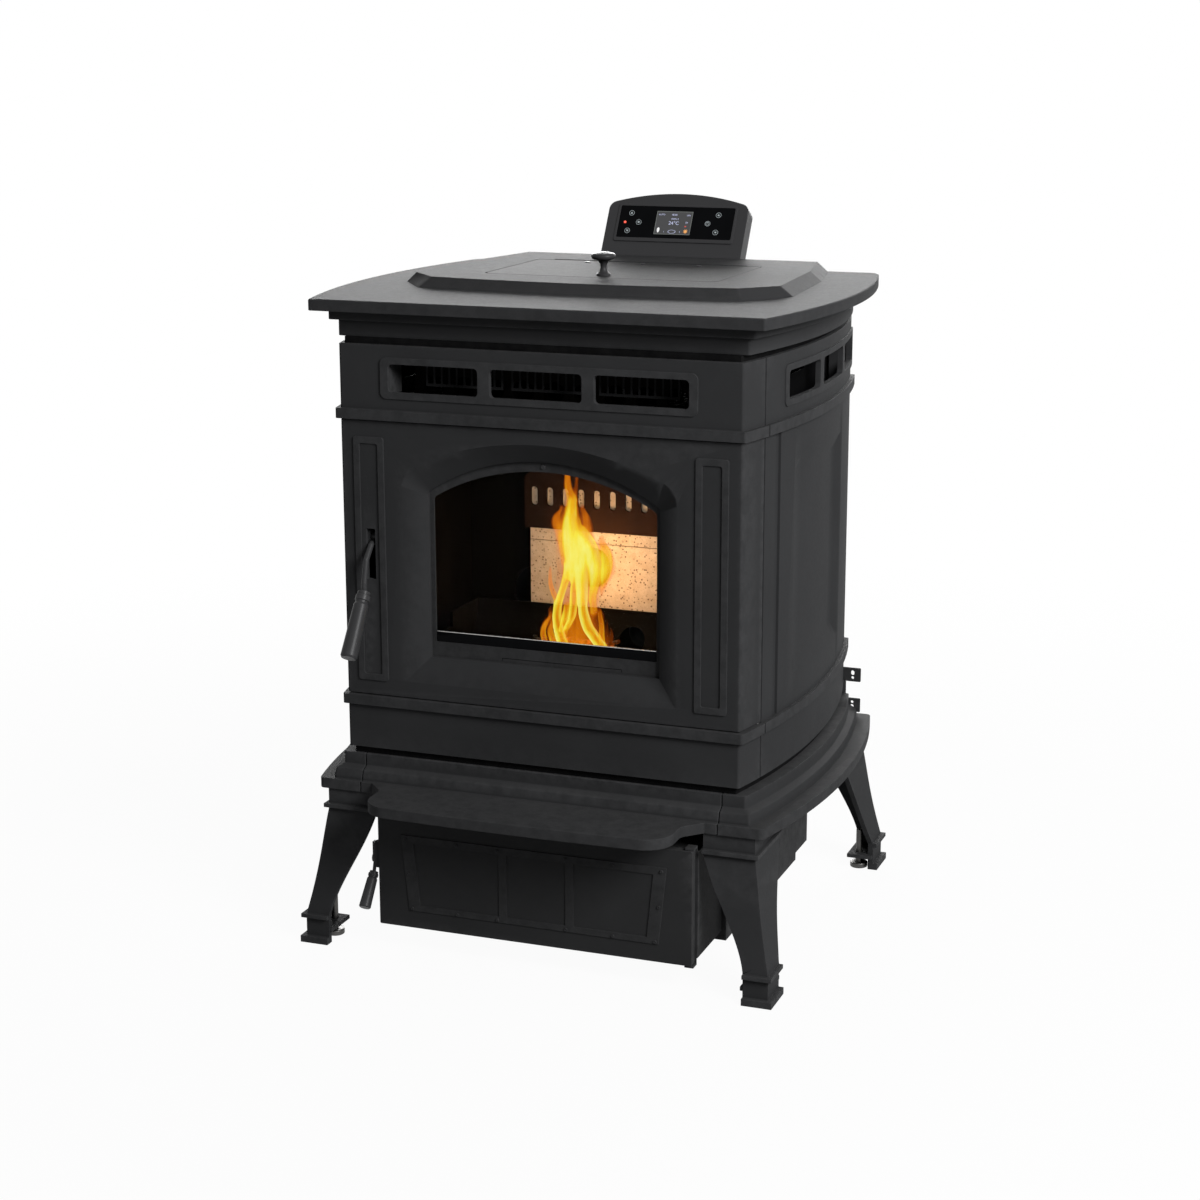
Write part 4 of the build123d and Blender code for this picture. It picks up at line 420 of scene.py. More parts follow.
# braided glass-fibre rope: two sets of slanted strands crossing
def makeRope():
    material, tree, shader = newFinish("ropeSeal", Roughness=0.85, Specular_IOR_Level=0.2)
    place = put(tree, "TexCoord").outputs["Object"]
    strands = []
    for turn in (0.8, -0.8):
        turned = put(tree, "Mapping", {"Vector": place, "Rotation": (0.0, turn, 0.0)}).outputs["Vector"]
        strands.append(put(tree, "TexWave", {"Vector": turned, "Scale": 95.0, "Distortion": 0.6},
                           bands_direction="X").outputs["Fac"])
    braid = calc(tree, "MAXIMUM", strands[0], strands[1])
    fibre = mixColour(tree, braid, (0.035, 0.035, 0.036), (0.15, 0.15, 0.15))
    tree.links.new(fibre, shader.inputs["Base Color"])
    addBump(tree, shader, braid, 0.7, 0.0008)
    return material


# moulded plastic with a fine spark-eroded texture
def makePlastic(label, tone, roughness, gloss):
    material, tree, shader = newFinish(label, Specular_IOR_Level=gloss)
    skin = useGroup(tree, "grain", Scale=2600.0)
    deep = tuple(value * 0.85 for value in tone)
    light = tuple(value * 1.2 for value in tone)
    tree.links.new(mixColour(tree, skin["Tone"], deep, light), shader.inputs["Base Color"])
    sheen = ramp(tree, skin["Height"], 0.3, 0.7, roughness - 0.04, roughness + 0.04)
    tree.links.new(sheen, shader.inputs["Roughness"])
    addBump(tree, shader, skin["Height"], 0.3, 0.0001)
    return material


# polished black face with fingerprints that only change its gloss
def makeGlossBlack(label, tone, roughness=0.12, gloss=0.12):
    material, tree, shader = newFinish(label, Specular_IOR_Level=gloss)
    smear = useGroup(tree, "soot", Scale=45.0)["Mask"]
    tree.links.new(ramp(tree, smear, 0.0, 1.0, roughness, roughness + 0.14), shader.inputs["Roughness"])
    smeared = tuple(value * 1.4 for value in tone)
    tree.links.new(mixColour(tree, smear, tone, smeared), shader.inputs["Base Color"])
    return material


# green circuit board with copper tracks
def makeBoard():
    material, tree, shader = newFinish("circuitBoard", Roughness=0.35)
    place = put(tree, "TexCoord").outputs["Object"]
    tracks = put(tree, "TexBrick", {"Vector": place, "Scale": 160.0, "Mortar Size": 0.05,
                                    "Color1": (0.01, 0.10, 0.045, 1), "Color2": (0.015, 0.13, 0.06, 1),
                                    "Mortar": (0.20, 0.16, 0.05, 1)})
    tree.links.new(tracks.outputs["Color"], shader.inputs["Base Color"])
    return material


# lit sign or lamp face: a little uneven, as a printed or moulded light is
def makeGlow(label, colour, strength):
    material, tree, shader = newFinish(label, Roughness=0.4, Emission_Strength=strength)
    place = put(tree, "TexCoord").outputs["Object"]
    uneven = noise(tree, place, 400.0, 2.0)
    dim = tuple(value * 0.85 for value in colour)
    tree.links.new(mixColour(tree, uneven, dim, colour), shader.inputs["Emission Color"])
    face = mixColour(tree, uneven, (0.02, 0.02, 0.02), (0.03, 0.03, 0.03))
    tree.links.new(face, shader.inputs["Base Color"])
    return material


ironTone = (0.0195, 0.0198, 0.0206)
# lighter paint colour for the painted highlight along edges
ironEdgeLight = (0.055, 0.055, 0.057)
finishes = {
    "black_cast_iron": paintedMetal("castIronPaint", ironTone, ironEdgeLight, 0.66),
    "black_sheet": paintedMetal("sheetPaint", (0.0185, 0.0187, 0.0193), ironEdgeLight, 0.64,
                                grain=1500.0, bump=0.15),
    "black_handle": paintedMetal("handlePaint", (0.022, 0.022, 0.023), ironEdgeLight, 0.38,
                                 grain=1800.0, bump=0.12, gloss=0.1),
    "firebox_steel": makeSootedSteel("sootedSteel", (0.0055, 0.0042, 0.0033),
                                     (0.0014, 0.0012, 0.0011), 0.55),
    "zinc_sheet": makeZinc(),
    "bright_steel": bareMetal("turnedSteel", (0.62, 0.61, 0.59), 0.25, (700.0, 40.0, 700.0)),
    "leveller_steel": bareMetal("blackenedSteel", (0.09, 0.088, 0.085), 0.42,
                                (300.0, 300.0, 1400.0), stain=0.5),
    "motor_black": paintedMetal("motorEnamel", (0.03, 0.03, 0.031), (0.2, 0.2, 0.2), 0.35,
                                bump=0.1, gloss=0.5),
    "flue_steel": paintedMetal("fluePaint", (0.016, 0.016, 0.017), (0.08, 0.08, 0.08), 0.5,
                               grain=1200.0),
    "firebrick": makeBrick(),
    "door_glass": makeGlass(),
    "rope_seal": makeRope(),
    "console_plastic": makePlastic("consolePlastic", (0.0125, 0.0125, 0.0135), 0.5, 0.25),
    "console_glass": makeGlossBlack("consoleGlass", (0.0015, 0.0016, 0.0019), gloss=0.02),
    "key_black": makeGlossBlack("keyBlack", (0.004, 0.004, 0.0045), 0.25),
    "circuit_board": makeBoard(),
}
slotOf = {part["node"]: part["material_slot"] for part in frame["record"]["subparts"]}
finishOf = {nodeName: finishes[slotName] for nodeName, slotName in slotOf.items()}
# nodes that the fire has stained, and nodes darkened as painted shade inside the stove
finishOf["baffle_plate"] = makeSootedSteel("heatStainedSteel", (0.050, 0.020, 0.010),
                                           (0.016, 0.010, 0.008), 0.6)
# the blower parts: sooted steel, whose near-black colour is also painted shade where light from behind
# reaches them
finishOf["exhaust_blower"] = finishes["firebox_steel"]
finishOf["exhaust_impeller"] = finishes["firebox_steel"]
# near-black paint as painted shade: the shell's edges show in the gaps under the top plate and above the
# base, where there is only shadow
finishOf["cabinet_shell"] = paintedMetal("shadowLinerPaint", (0.003, 0.003, 0.0032), (0.01, 0.01, 0.01), 0.8,
                                         gloss=0.02)
# black paint in place of the bin's zinc, as painted shade where it shows through the vents and the hopper
# opening
finishOf["hopper_bin"] = finishes["black_sheet"]
for nodeName, node in nodes.items():
    for index in range(len(node.data.materials)):
        node.data.materials[index] = finishOf[nodeName]
print("materials made", len(finishes))


# castings and sheet parts: the CAD solid's copy with its edges eased as paint and casting ease them

easing = {"merge": 0.004, "flat": 0.15, "segments": 2, "corner": 34.0, "stray": 0.6}


def easedCopy(nodeName, width, dissolve):
    source = nodes[nodeName]
    piece = bpy.data.objects.new(nodeName + "Eased", source.data.copy())
    bpy.context.scene.collection.objects.link(piece)
    editAll(piece)
    bpy.ops.mesh.customdata_custom_splitnormals_clear()
    bpy.ops.mesh.remove_doubles(threshold=easing["merge"] * mm)
    if dissolve:
        bpy.ops.mesh.dissolve_limited(angle_limit=math.radians(easing["flat"]))
    leaveEdit()
    useModifier(piece, "BEVEL", width=width * mm, segments=easing["segments"], limit_method="ANGLE",
                angle_limit=math.radians(easing["corner"]), use_clamp_overlap=False,
                harden_normals=False, miter_outer="MITER_ARC", loop_slide=False)
    # a bevel that ran past its corner comes back to the casting
    for vertex in piece.data.vertices:
        found, place, _, _ = source.closest_point_on_mesh(vertex.co)
        if found and (place - vertex.co).length > easing["stray"] * width * mm:
            vertex.co = place
    slotName = slotOf[nodeName]
    finishPiece(piece, nodeName + "Eased", source["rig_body"], finishes[slotName])
    useModifier(piece, "WEIGHTED_NORMAL", keep_sharp=True, mode="FACE_AREA", weight=50)
    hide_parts(nodeName)


# how far each part's edges are eased, in millimetres
easedParts = {
    "base_casting_left": 0.9, "base_casting_right": 0.9, "ash_lip_shelf": 1.3,
    "leg_front_left": 0.6, "leg_front_right": 0.6, "leg_rear_left": 0.6, "leg_rear_right": 0.6,
    "front_lower_band": 0.6, "front_upper_band": 0.6,
    "side_casting_left": 0.6, "side_casting_right": 0.6,
    "door_casting": 0.6, "top_plate": 1.0, "hopper_deck": 0.4, "hopper_lid": 0.25,
    "lower_cabinet": 0.5, "ash_door": 0.4, "console_shell": 0.8, "glass_frame": 0.4,
    "rear_panel": 0.4, "firebox_shell": 0.5, "burn_trough": 0.4,
}
for nodeName, width in easedParts.items():
    easedCopy(nodeName, width, dissolve=nodeName != "ash_door")  # its riveted panel would lose faces
print("castings eased", len(easedParts))


# small fasteners

# a domed screw head on the floor plane, looking up, with a hollow in its top when recess is above 0
def panScrew(radius, height, recess):
    deselectAll()
    bpy.ops.mesh.primitive_cylinder_add(vertices=20, radius=radius * mm, depth=height * mm,
                                        location=(0, 0, height * mm / 2))
    piece = bpy.context.object
    bpy.ops.object.transform_apply(location=True, rotation=True, scale=True)
    editAll(piece)
    selectFaces(piece, lambda centre, normal: normal.z > 0.9)
    bpy.ops.mesh.bevel(offset=height * 0.45 * mm, segments=3, affect="EDGES")
    if recess:
        selectFaces(piece, lambda centre, normal: normal.z > 0.999)
        bpy.ops.mesh.inset(thickness=(radius - recess) * 0.55 * mm)
        bpy.ops.mesh.inset(thickness=0.25 * mm, depth=-height * 0.35 * mm)
    leaveEdit()
    return piece


# puts a piece that looks up at a place, looking along the normal, in millimetres
def facingMatrix(place, normal):
    turn = Vector((0, 0, 1)).rotation_difference(Vector(normal)).to_matrix().to_4x4()
    return Matrix.Translation(Vector(place) * mm) @ turn


toFront, toSky = (0, -1, 0), (0, 0, 1)
ashFace = -299.5
screws = {
    "ashDoorScrews": {"body": "ash_door", "slot": "black_sheet", "radius": 2.6, "height": 1.4,
                      "recess": 1.0, "normal": toFront,
                      "places": [(x, ashFace, 169.5) for x in (-190, -112, -51, 51, 120, 190)]
                      + [(x, ashFace, 67.5) for x in (-181, -112, -51, 51, 120, 181)]
                      + [(x, ashFace, 118.0) for x in (-186, 186)]},
    "lidRivets": {"body": "lid", "slot": "black_handle", "radius": 4.2, "height": 1.3, "recess": 0.0,
                  "normal": toSky, "places": [(x, 155, 934.7) for x in (-87, 0, 87)]},
    "archScrew": {"body": "door", "slot": "black_handle", "radius": 3.4, "height": 1.8, "recess": 1.2,
                  "normal": toFront, "places": [(0, -242.9, 701.6)]},
}
for label, screw in screws.items():
    head = panScrew(screw["radius"], screw["height"], screw["recess"])
    piece = scatter(head, [facingMatrix(place, screw["normal"]) for place in screw["places"]])
    finishPiece(piece, label, screw["body"], finishes[screw["slot"]])
print("fasteners placed")


# window sill: the fence strip, near-black as painted shade, with its bright edge, and a dark line of
# painted shade along the pressed slot under it

sill = {"half": 161.4, "back": -240.1, "front": -242.5, "low": 445.3, "high": 459.4, "edge": 0.5,
        "bright": 0.9, "brightGap": 0.02, "brightEdge": 0.3}
pressedSlot = {"left": -63.4, "right": 112.4, "top": 430.2, "foot": 426.2, "line": 0.8,
               "face": -242.7, "relief": 0.25}


def makeSill():
    half, back, front = sill["half"], sill["back"], sill["front"]
    # the fence strip is the glass retainer bar; its near-black gloss finish paints the shade that falls on
    # it
    strip = boxPiece((-half, front, sill["low"]), (half, back, sill["high"]), sill["edge"])
    finishPiece(strip, "fenceStrip", "door", finishes["console_glass"])
    low, high = sill["high"] + sill["brightGap"], sill["high"] + sill["bright"]
    edge = boxPiece((-half, front, low), (half, back, high), sill["brightEdge"])
    finishPiece(edge, "fenceEdge", "door", finishes["bright_steel"])


# painted shade: a thin near-black line along the top and sides of the pressed slot, where its edge is in
# shade
def makeSlotShadeLine():
    left, right, line = pressedSlot["left"], pressedSlot["right"], pressedSlot["line"]
    top, foot = pressedSlot["top"], pressedSlot["foot"]
    outline = flatShape([(left, foot), (left + line, foot), (left + line, top - line),
                         (right - line, top - line), (right - line, foot), (right, foot),
                         (right, top), (left, top)], pressedSlot["relief"])
    upright = Matrix.Rotation(math.radians(90), 4, "X")
    outline.data.transform(Matrix.Translation((0, pressedSlot["face"] * mm, 0)) @ upright)
    finishPiece(outline, "slotShadeLine", "door", finishes["console_glass"])


# the fire: pellets, embers and flame

fire = {"seed": 7, "x": -7.0, "y": -112.0, "embers": 440.0, "pellets": 150, "pelletRadius": 3.0,
        "pelletLength": 14.0, "pelletEdge": 0.6, "spread": 42.0, "reach": 110.0, "heap": 10.0,
        "heapHalf": 40.0, "bed": 4.0, "layer": 6.0, "lean": (1.1, 1.7), "warmFrom": 0.075, "warmTo": 0.02}
trough = {"axis": 462.0, "radius": 62.0, "half": 34.0}


# charred pellets that glow where they touch the fire
def makePelletFinish():
    material, tree, shader = newFinish("glowingPellets", Roughness=0.9, Emission_Strength=1.0)
    place = put(tree, "TexCoord").outputs["Object"]
    middle = (-fire["x"] * mm, -fire["y"] * mm, -fire["embers"] * mm)
    centre = put(tree, "Mapping", {"Vector": place, "Location": middle}).outputs["Vector"]
    away = put(tree, "VectorMath", {0: centre}, operation="LENGTH").outputs["Value"]
    near = ramp(tree, away, fire["warmFrom"], fire["warmTo"])
    coal = ramp(tree, noise(tree, place, 170.0, 3.0), 0.46, 0.66)
    heat = calc(tree, "MULTIPLY", near, coal)
    glow = mixColour(tree, heat, (0.0, 0.0, 0.0), (1.0, 0.20, 0.02))
    tree.links.new(glow, shader.inputs["Emission Color"])
    ashy = ramp(tree, noise(tree, place, 60.0, 4.0), 0.5, 0.7)
    char = mixColour(tree, ashy, (0.012, 0.009, 0.007), (0.05, 0.045, 0.04))
    tree.links.new(char, shader.inputs["Base Color"])
    addBump(tree, shader, noise(tree, place, 900.0, 3.0), 0.5, 0.0006)
    return material


def makePellets():
    radius, length = fire["pelletRadius"] * mm, fire["pelletLength"] * mm
    deselectAll()
    bpy.ops.mesh.primitive_cylinder_add(vertices=8, radius=radius, depth=length)
    piece = bpy.context.object
    editAll(piece)
    bpy.ops.mesh.bevel(offset=fire["pelletEdge"] * mm, segments=1, affect="EDGES")
    leaveEdit()
    rng = random.Random(fire["seed"])
    matrices = []
    while len(matrices) < fire["pellets"]:
        along = rng.gauss(0, fire["spread"])
        across = rng.uniform(-1, 1) * trough["half"]
        if abs(along) > fire["reach"]:
            continue
        lift = fire["heap"] * math.exp(-(along / fire["heapHalf"]) ** 2)  # highest in the middle
        bottom = trough["axis"] - math.sqrt(trough["radius"] ** 2 - across ** 2)
        height = bottom + fire["bed"] + rng.random() * (fire["layer"] + lift)
        spin = Matrix.Rotation(rng.uniform(0, math.pi), 4, "Z")
        lean = Matrix.Rotation(rng.uniform(*fire["lean"]), 4, "X")
        place = Vector((fire["x"] + along, fire["y"] + across, height)) * mm
        matrices.append(Matrix.Translation(place) @ spin @ lean)
    piece = scatter(piece, matrices)
    finishPiece(piece, "pellets", "root", makePelletFinish())


# flame: its heat is stored on the mesh; yellow where strands are dense, orange and thin at edges and tips
def makeFlameFinish():
    material, tree, shader = newFinish("flame", Roughness=1.0, Emission_Strength=1.0,
                                       Specular_IOR_Level=0.0, Base_Color=(0, 0, 0, 1))
    # an attribute called heat would be taken for the one that smoke has
    heat = put(tree, "Attribute", attribute_name="warmth").outputs["Fac"]
    place = put(tree, "TexCoord").outputs["Object"]
    licks = put(tree, "Mapping", {"Vector": place, "Scale": (1.0, 1.0, 0.16)}).outputs["Vector"]
    streak = noise(tree, licks, 170.0, 3.0, 0.6)
    mixed = calc(tree, "MULTIPLY_ADD", calc(tree, "SUBTRACT", streak, 0.5), 0.42, heat)
    colours = put(tree, "ValToRGB", {"Fac": mixed})
    stops = ((0.0, (0.62, 0.09, 0.0)), (0.24, (0.84, 0.15, 0.004)), (0.46, (1.0, 0.28, 0.006)),
             (0.66, (1.0, 0.52, 0.012)), (0.84, (1.0, 0.84, 0.05)), (1.0, (1.0, 0.96, 0.20)))
    while len(colours.color_ramp.elements) < len(stops):
        colours.color_ramp.elements.new(0.5)
    for element, (position, colour) in zip(colours.color_ramp.elements, stops):
        element.position = position
        element.color = (*colour, 1.0)
    tree.links.new(colours.outputs["Color"], shader.inputs["Emission Color"])
    tree.links.new(ramp(tree, mixed, 0.05, 0.85, 0.0, 0.82), shader.inputs["Alpha"])
    return material


# each strand from its tip down: across, height, half width in mm, and heat
strands = {
    "core": [(-16.4, 668, 3.2, 0.5), (-15.4, 650, 4.4, 0.55), (-10.9, 633, 6, 0.66), (-11, 617, 8.5, 0.8),
             (-13, 596, 10, 0.88), (-12.2, 576, 11.5, 0.92), (-9.4, 556, 12, 0.92), (-8, 536, 9, 0.86),
             (-9.5, 520, 6, 0.7)],
    "coreRight": [(-2, 600, 4, 0.4), (2, 584, 7, 0.72), (5, 566, 10, 0.86), (7, 548, 10, 0.9),
                  (6, 530, 8, 0.9), (5.1, 506, 6.5, 0.86), (5.6, 486, 4.6, 0.86)],
    "ghostTip": [(-2.3, 664, 2.5, 0.18), (-3.8, 649, 2.9, 0.2), (-6, 631, 3.8, 0.3)],
    "leftShoulder": [(-26.2, 618, 2.1, 0.3), (-33, 606, 5.2, 0.42), (-32.7, 595, 6.6, 0.46),
                     (-28.5, 583, 6, 0.42), (-24.4, 563, 4.3, 0.4), (-23.4, 543, 2.6, 0.3)],
    "rightShoulder": [(5.5, 622, 2.5, 0.3), (10.7, 609, 5, 0.40), (12.8, 596, 6, 0.42),
                      (13.5, 582, 6.4, 0.46), (16.5, 566, 6.5, 0.5)],
    "rightBody": [(5.4, 590, 4.2, 0.4), (15, 572, 8, 0.8), (23.5, 552, 9.5, 0.9), (26, 532, 8.5, 0.9),
                  (24, 512, 6, 0.8), (20.7, 493, 4.6, 0.66), (23, 473, 4.3, 0.5)],
    "bulge": [(34.5, 578, 3, 0.4), (40, 562, 6.8, 0.74), (43, 546, 7, 0.82), (41.6, 531, 6.6, 0.8),
              (38, 516, 4.6, 0.62), (34.7, 502, 1.6, 0.3)],
    "middle": [(2, 537, 4, 0.6), (4.6, 506, 4, 0.88), (5.6, 486, 3.4, 0.93), (7.5, 468, 3.6, 0.97),
               (14.4, 448, 4, 1), (26.1, 433, 4, 1), (38.1, 414, 3.4, 0.9)],
    "inner": [(-5.5, 526, 3.6, 0.6), (-7.3, 499, 2.7, 0.85), (-8.2, 479, 2.6, 0.85),
              (-10.5, 462, 2.6, 0.85), (-17.6, 447, 2.9, 0.75), (-21.8, 438, 2.1, 0.4)],
    "left": [(-14.8, 540, 5, 0.66), (-21.5, 510, 3.8, 0.82), (-29.1, 487, 3.4, 0.92),
             (-33.1, 468, 2.8, 0.97), (-31.9, 448, 2.8, 1), (-27.3, 430, 3, 1), (-20.6, 412, 3, 0.9)],
    "third": [(-18.5, 478, 2.4, 0.6), (-20.7, 461, 2.8, 0.85), (-25.1, 444, 2.6, 0.7)],
    "wisp": [(-43.6, 527, 1, 0.42), (-43, 509, 1.8, 0.5), (-38.7, 495, 2.5, 0.55), (-33, 483, 2.6, 0.6)],
    "curl": [(-43.2, 462, 1.7, 0.35), (-50.4, 450, 3.2, 0.5), (-54.8, 438, 2.5, 0.6),
             (-53.2, 426, 2.2, 0.6), (-49, 416, 1.7, 0.4)],
    "curlInner": [(-40.1, 453, 2.4, 0.35), (-44, 440, 2.8, 0.48), (-40.2, 427, 2.8, 0.62),
                  (-33.8, 417, 2.6, 0.85)],
    "rightEdge": [(31.5, 471, 1.7, 0.4), (34.2, 454, 2.1, 0.5), (34.6, 435, 2.1, 0.6),
                  (37.1, 420, 1.7, 0.6)],
    "foot": [(-5.6, 489, 22, 0.16), (-3.6, 471, 32, 0.34), (-2.6, 451, 37, 0.40), (-1.6, 434, 39, 0.42),
             (-1.7, 410, 37, 0.42)],
    "veil": [(-10.4, 606, 15, 0.16), (-7.3, 585, 21, 0.26), (3.2, 561, 28, 0.34), (7.3, 537, 31, 0.34),
             (3, 512, 30, 0.28), (-3.5, 489, 28, 0.22)],
}
flame = {"low": 408.0, "high": 676.0, "half": 66.0, "columns": 100, "rows": 190, "depth": 17.0,
         "skin": 0.3, "least": 0.07}


# a strand's middle, half width and heat at one height, with a soft end above and below
def strandAt(points, height):
    top, foot = points[0][1], points[-1][1]
    inside = min(max(height, foot), top)
    index = next(i for i in range(len(points) - 1) if inside >= points[i + 1][1])
    first, second = points[index], points[index + 1]
    before, after = points[max(index - 1, 0)], points[min(index + 2, len(points) - 1)]
    t = (first[1] - inside) / (first[1] - second[1])
    values = []
    for axis in (0, 2, 3):
        a, b, c, d = before[axis], first[axis], second[axis], after[axis]
        values.append(b + 0.5 * t * (c - a + t * (2 * a - 5 * b + 4 * c - d + t * (3 * (b - c) + d - a))))
    middle, half, heat = values
    return middle, max(half, 0.5), heat * math.exp(-((height - inside) / 5.0) ** 2)


def heatAt(x, z):
    cold = 1.0
    for points in strands.values():
        middle, half, heat = strandAt(points, z)
        cold *= 1 - heat * math.exp(-0.8 * abs((x - middle) / half) ** 2.4)
    return 1 - cold


def makeFlame():
    tall = flame["high"] - flame["low"]
    deselectAll()
    bpy.ops.mesh.primitive_grid_add(x_subdivisions=flame["columns"], y_subdivisions=flame["rows"], size=1,
                                    location=(0, fire["y"] * mm, (flame["low"] + tall / 2) * mm),
                                    rotation=(math.radians(90), 0, 0))
    piece = bpy.context.object
    piece.scale = (2 * flame["half"] * mm, tall * mm, 1)
    bpy.ops.object.transform_apply(location=True, rotation=True, scale=True)
    editAll(piece)
    selectFaces(piece, lambda centre, normal: heatAt(centre.x / mm, centre.z / mm) < flame["least"])
    bpy.ops.mesh.delete(type="FACE")
    leaveEdit()
    useModifier(piece, "SOLIDIFY", thickness=0.001, offset=0.0)
    heat = piece.data.attributes.new("warmth", "FLOAT", "POINT")
    for vertex in piece.data.vertices:
        value = heatAt(vertex.co.x / mm, vertex.co.z / mm)
        heat.data[vertex.index].value = value
        way = 1 if vertex.co.y > fire["y"] * mm else -1
        vertex.co.y = (fire["y"] + way * (flame["skin"] + flame["depth"] * value ** 1.5)) * mm
    finishPiece(piece, "flame", "root", makeFlameFinish(), smooth=180)


makeSill()
makeSlotShadeLine()
makePellets()
makeFlame()
print("fire built")


# console: screen picture, key icons and lamp, all a little proud of the glass

console = {"y": 275.3, "z": 934.7, "lean": 30.6, "glassFront": 1.0, "keyFront": 1.8, "relief": 0.14}
keyLook = {"ring": 4.2, "line": 0.42, "arrow": 2.0, "powerRing": (2.7, 2.2),
           "powerBar": (-0.25, 0.25, 0.4, 2.9),
           "signBars": ((-2.2, 2.2, -0.3, 0.5), (-1.2, 1.2, -1.3, 1.5))}
screen = {"left": -32.0, "right": 25.5, "low": 36.5, "high": 75.1, "thick": 0.1, "rim": 0.7,
          "rimRelief": 0.2}
words = [("24°C", 8.0, 0.5, -0.5), ("18:30", 4.2, -0.5, 13.5), ("AUTO", 3.6, -20.5, 13.5),
         ("ON", 3.6, 22.5, 13.0), ("MON 2", 3.8, 1.5, 6.5), ("50", 3.8, 21.0, 1.0),
         ("1", 3.4, -13.0, -15.0), ("5", 3.4, 12.5, -15.0)]  # text, size, then its place on the screen
drop = {"half": 2.6, "round": 3.6, "tip": 1.35}
sun = {"inner": 2.0, "outer": 3.9}
loop = {"outer": 6.2, "inner": 5.4, "squeeze": 0.48}
mark = (-1.3, 1.3, -0.9, 0.9)
statusLamp = {"across": -81.3, "up": 55.2, "radius": 1.9, "height": 0.6}
relief = console["relief"]
lean = math.radians(console["lean"])
consoleUp = Vector((0, math.sin(lean), math.cos(lean)))
consoleOut = Vector((0, -math.cos(lean), math.sin(lean)))
consoleAt = Vector((0, console["y"], console["z"]))


def consoleMatrix(across, up, out):
    place = (consoleAt + Vector((across, 0, 0)) + consoleUp * up + consoleOut * out) * mm
    turn = Matrix((Vector((1, 0, 0)), consoleUp, consoleOut)).transposed().to_4x4()
    return Matrix.Translation(place) @ turn


# a flat ring on the floor plane; inner 0 makes a disc
def flatRing(outer, inner, height, vertices=40, squeeze=1.0):
    deselectAll()
    bpy.ops.mesh.primitive_circle_add(vertices=vertices, radius=outer * mm, fill_type="NGON")
    piece = bpy.context.object
    editAll(piece)
    if inner:
        bpy.ops.mesh.inset(thickness=(outer - inner) * mm)
        bpy.ops.mesh.delete(type="ONLY_FACE")
        bpy.ops.mesh.select_all(action="SELECT")
    bpy.ops.mesh.extrude_region_move(TRANSFORM_OT_translate={"value": (0, 0, height * mm)})
    bpy.ops.mesh.select_all(action="SELECT")
    bpy.ops.mesh.normals_make_consistent(inside=False)
    leaveEdit()
    piece.data.transform(Matrix.Diagonal((1, squeeze, 1, 1)))
    return piece


def textPlate(text, size):
    deselectAll()
    bpy.ops.object.text_add()
    piece = bpy.context.object
    piece.data.body = text
    piece.data.size = size * mm
    piece.data.align_x = "CENTER"
    piece.data.align_y = "CENTER"
    piece.data.extrude = relief * mm / 2
    piece.data.resolution_u = 3
    bpy.ops.object.convert(target="MESH")
    return bpy.context.object


def onConsole(piece, label, across, up, out, finish, body="root"):
    piece.data.transform(consoleMatrix(across, up, out))
    finishPiece(piece, label, body, finish)


def arrowOutline(size, way):
    return [(-size, -0.62 * size * way), (size, -0.62 * size * way), (0, 0.95 * size * way)]


# a drop: round below, drawn out and narrower above
def dropOutline():
    points = []
    for step in range(24):
        angle = math.pi * 2 * step / 24
        down = math.cos(angle)
        across = drop["half"] * math.sin(angle) * (0.75 - 0.25 * down)
        points.append((across, -drop["round"] * down * (1 if down > 0 else drop["tip"])))
    return points


def sunOutline():
    return [(reach * math.cos(math.pi * step / 8), reach * math.sin(math.pi * step / 8))
            for step, reach in enumerate((sun["inner"], sun["outer"]) * 8)]


def keyPlace(keyName):
    low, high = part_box(keyName)
    middle = (low + high) / 2 / mm - consoleAt
    return middle.x, middle.dot(consoleUp)


def dressKeys():
    iconPrint = makeGlow("iconPrint", (0.62, 0.72, 0.75), 0.55)
    for keyName in [name for name in nodes if name.startswith("key_")]:
        across, up = keyPlace(keyName)
        parts = [flatRing(keyLook["ring"], keyLook["ring"] - keyLook["line"], relief)]
        if keyName.endswith("_up"):
            parts.append(flatShape(arrowOutline(keyLook["arrow"], 1), relief))
        elif keyName.endswith("_down"):
            parts.append(flatShape(arrowOutline(keyLook["arrow"], -1), relief))
        elif keyName == "key_power":
            parts.append(flatRing(*keyLook["powerRing"], relief))
            parts.append(flatShape(rectangle(*keyLook["powerBar"]), relief))
        else:
            parts += [flatShape(rectangle(*bar), relief) for bar in keyLook["signBars"]]
        onConsole(joinPieces(parts), keyName + "Icon", across, up, console["keyFront"], iconPrint, keyName)


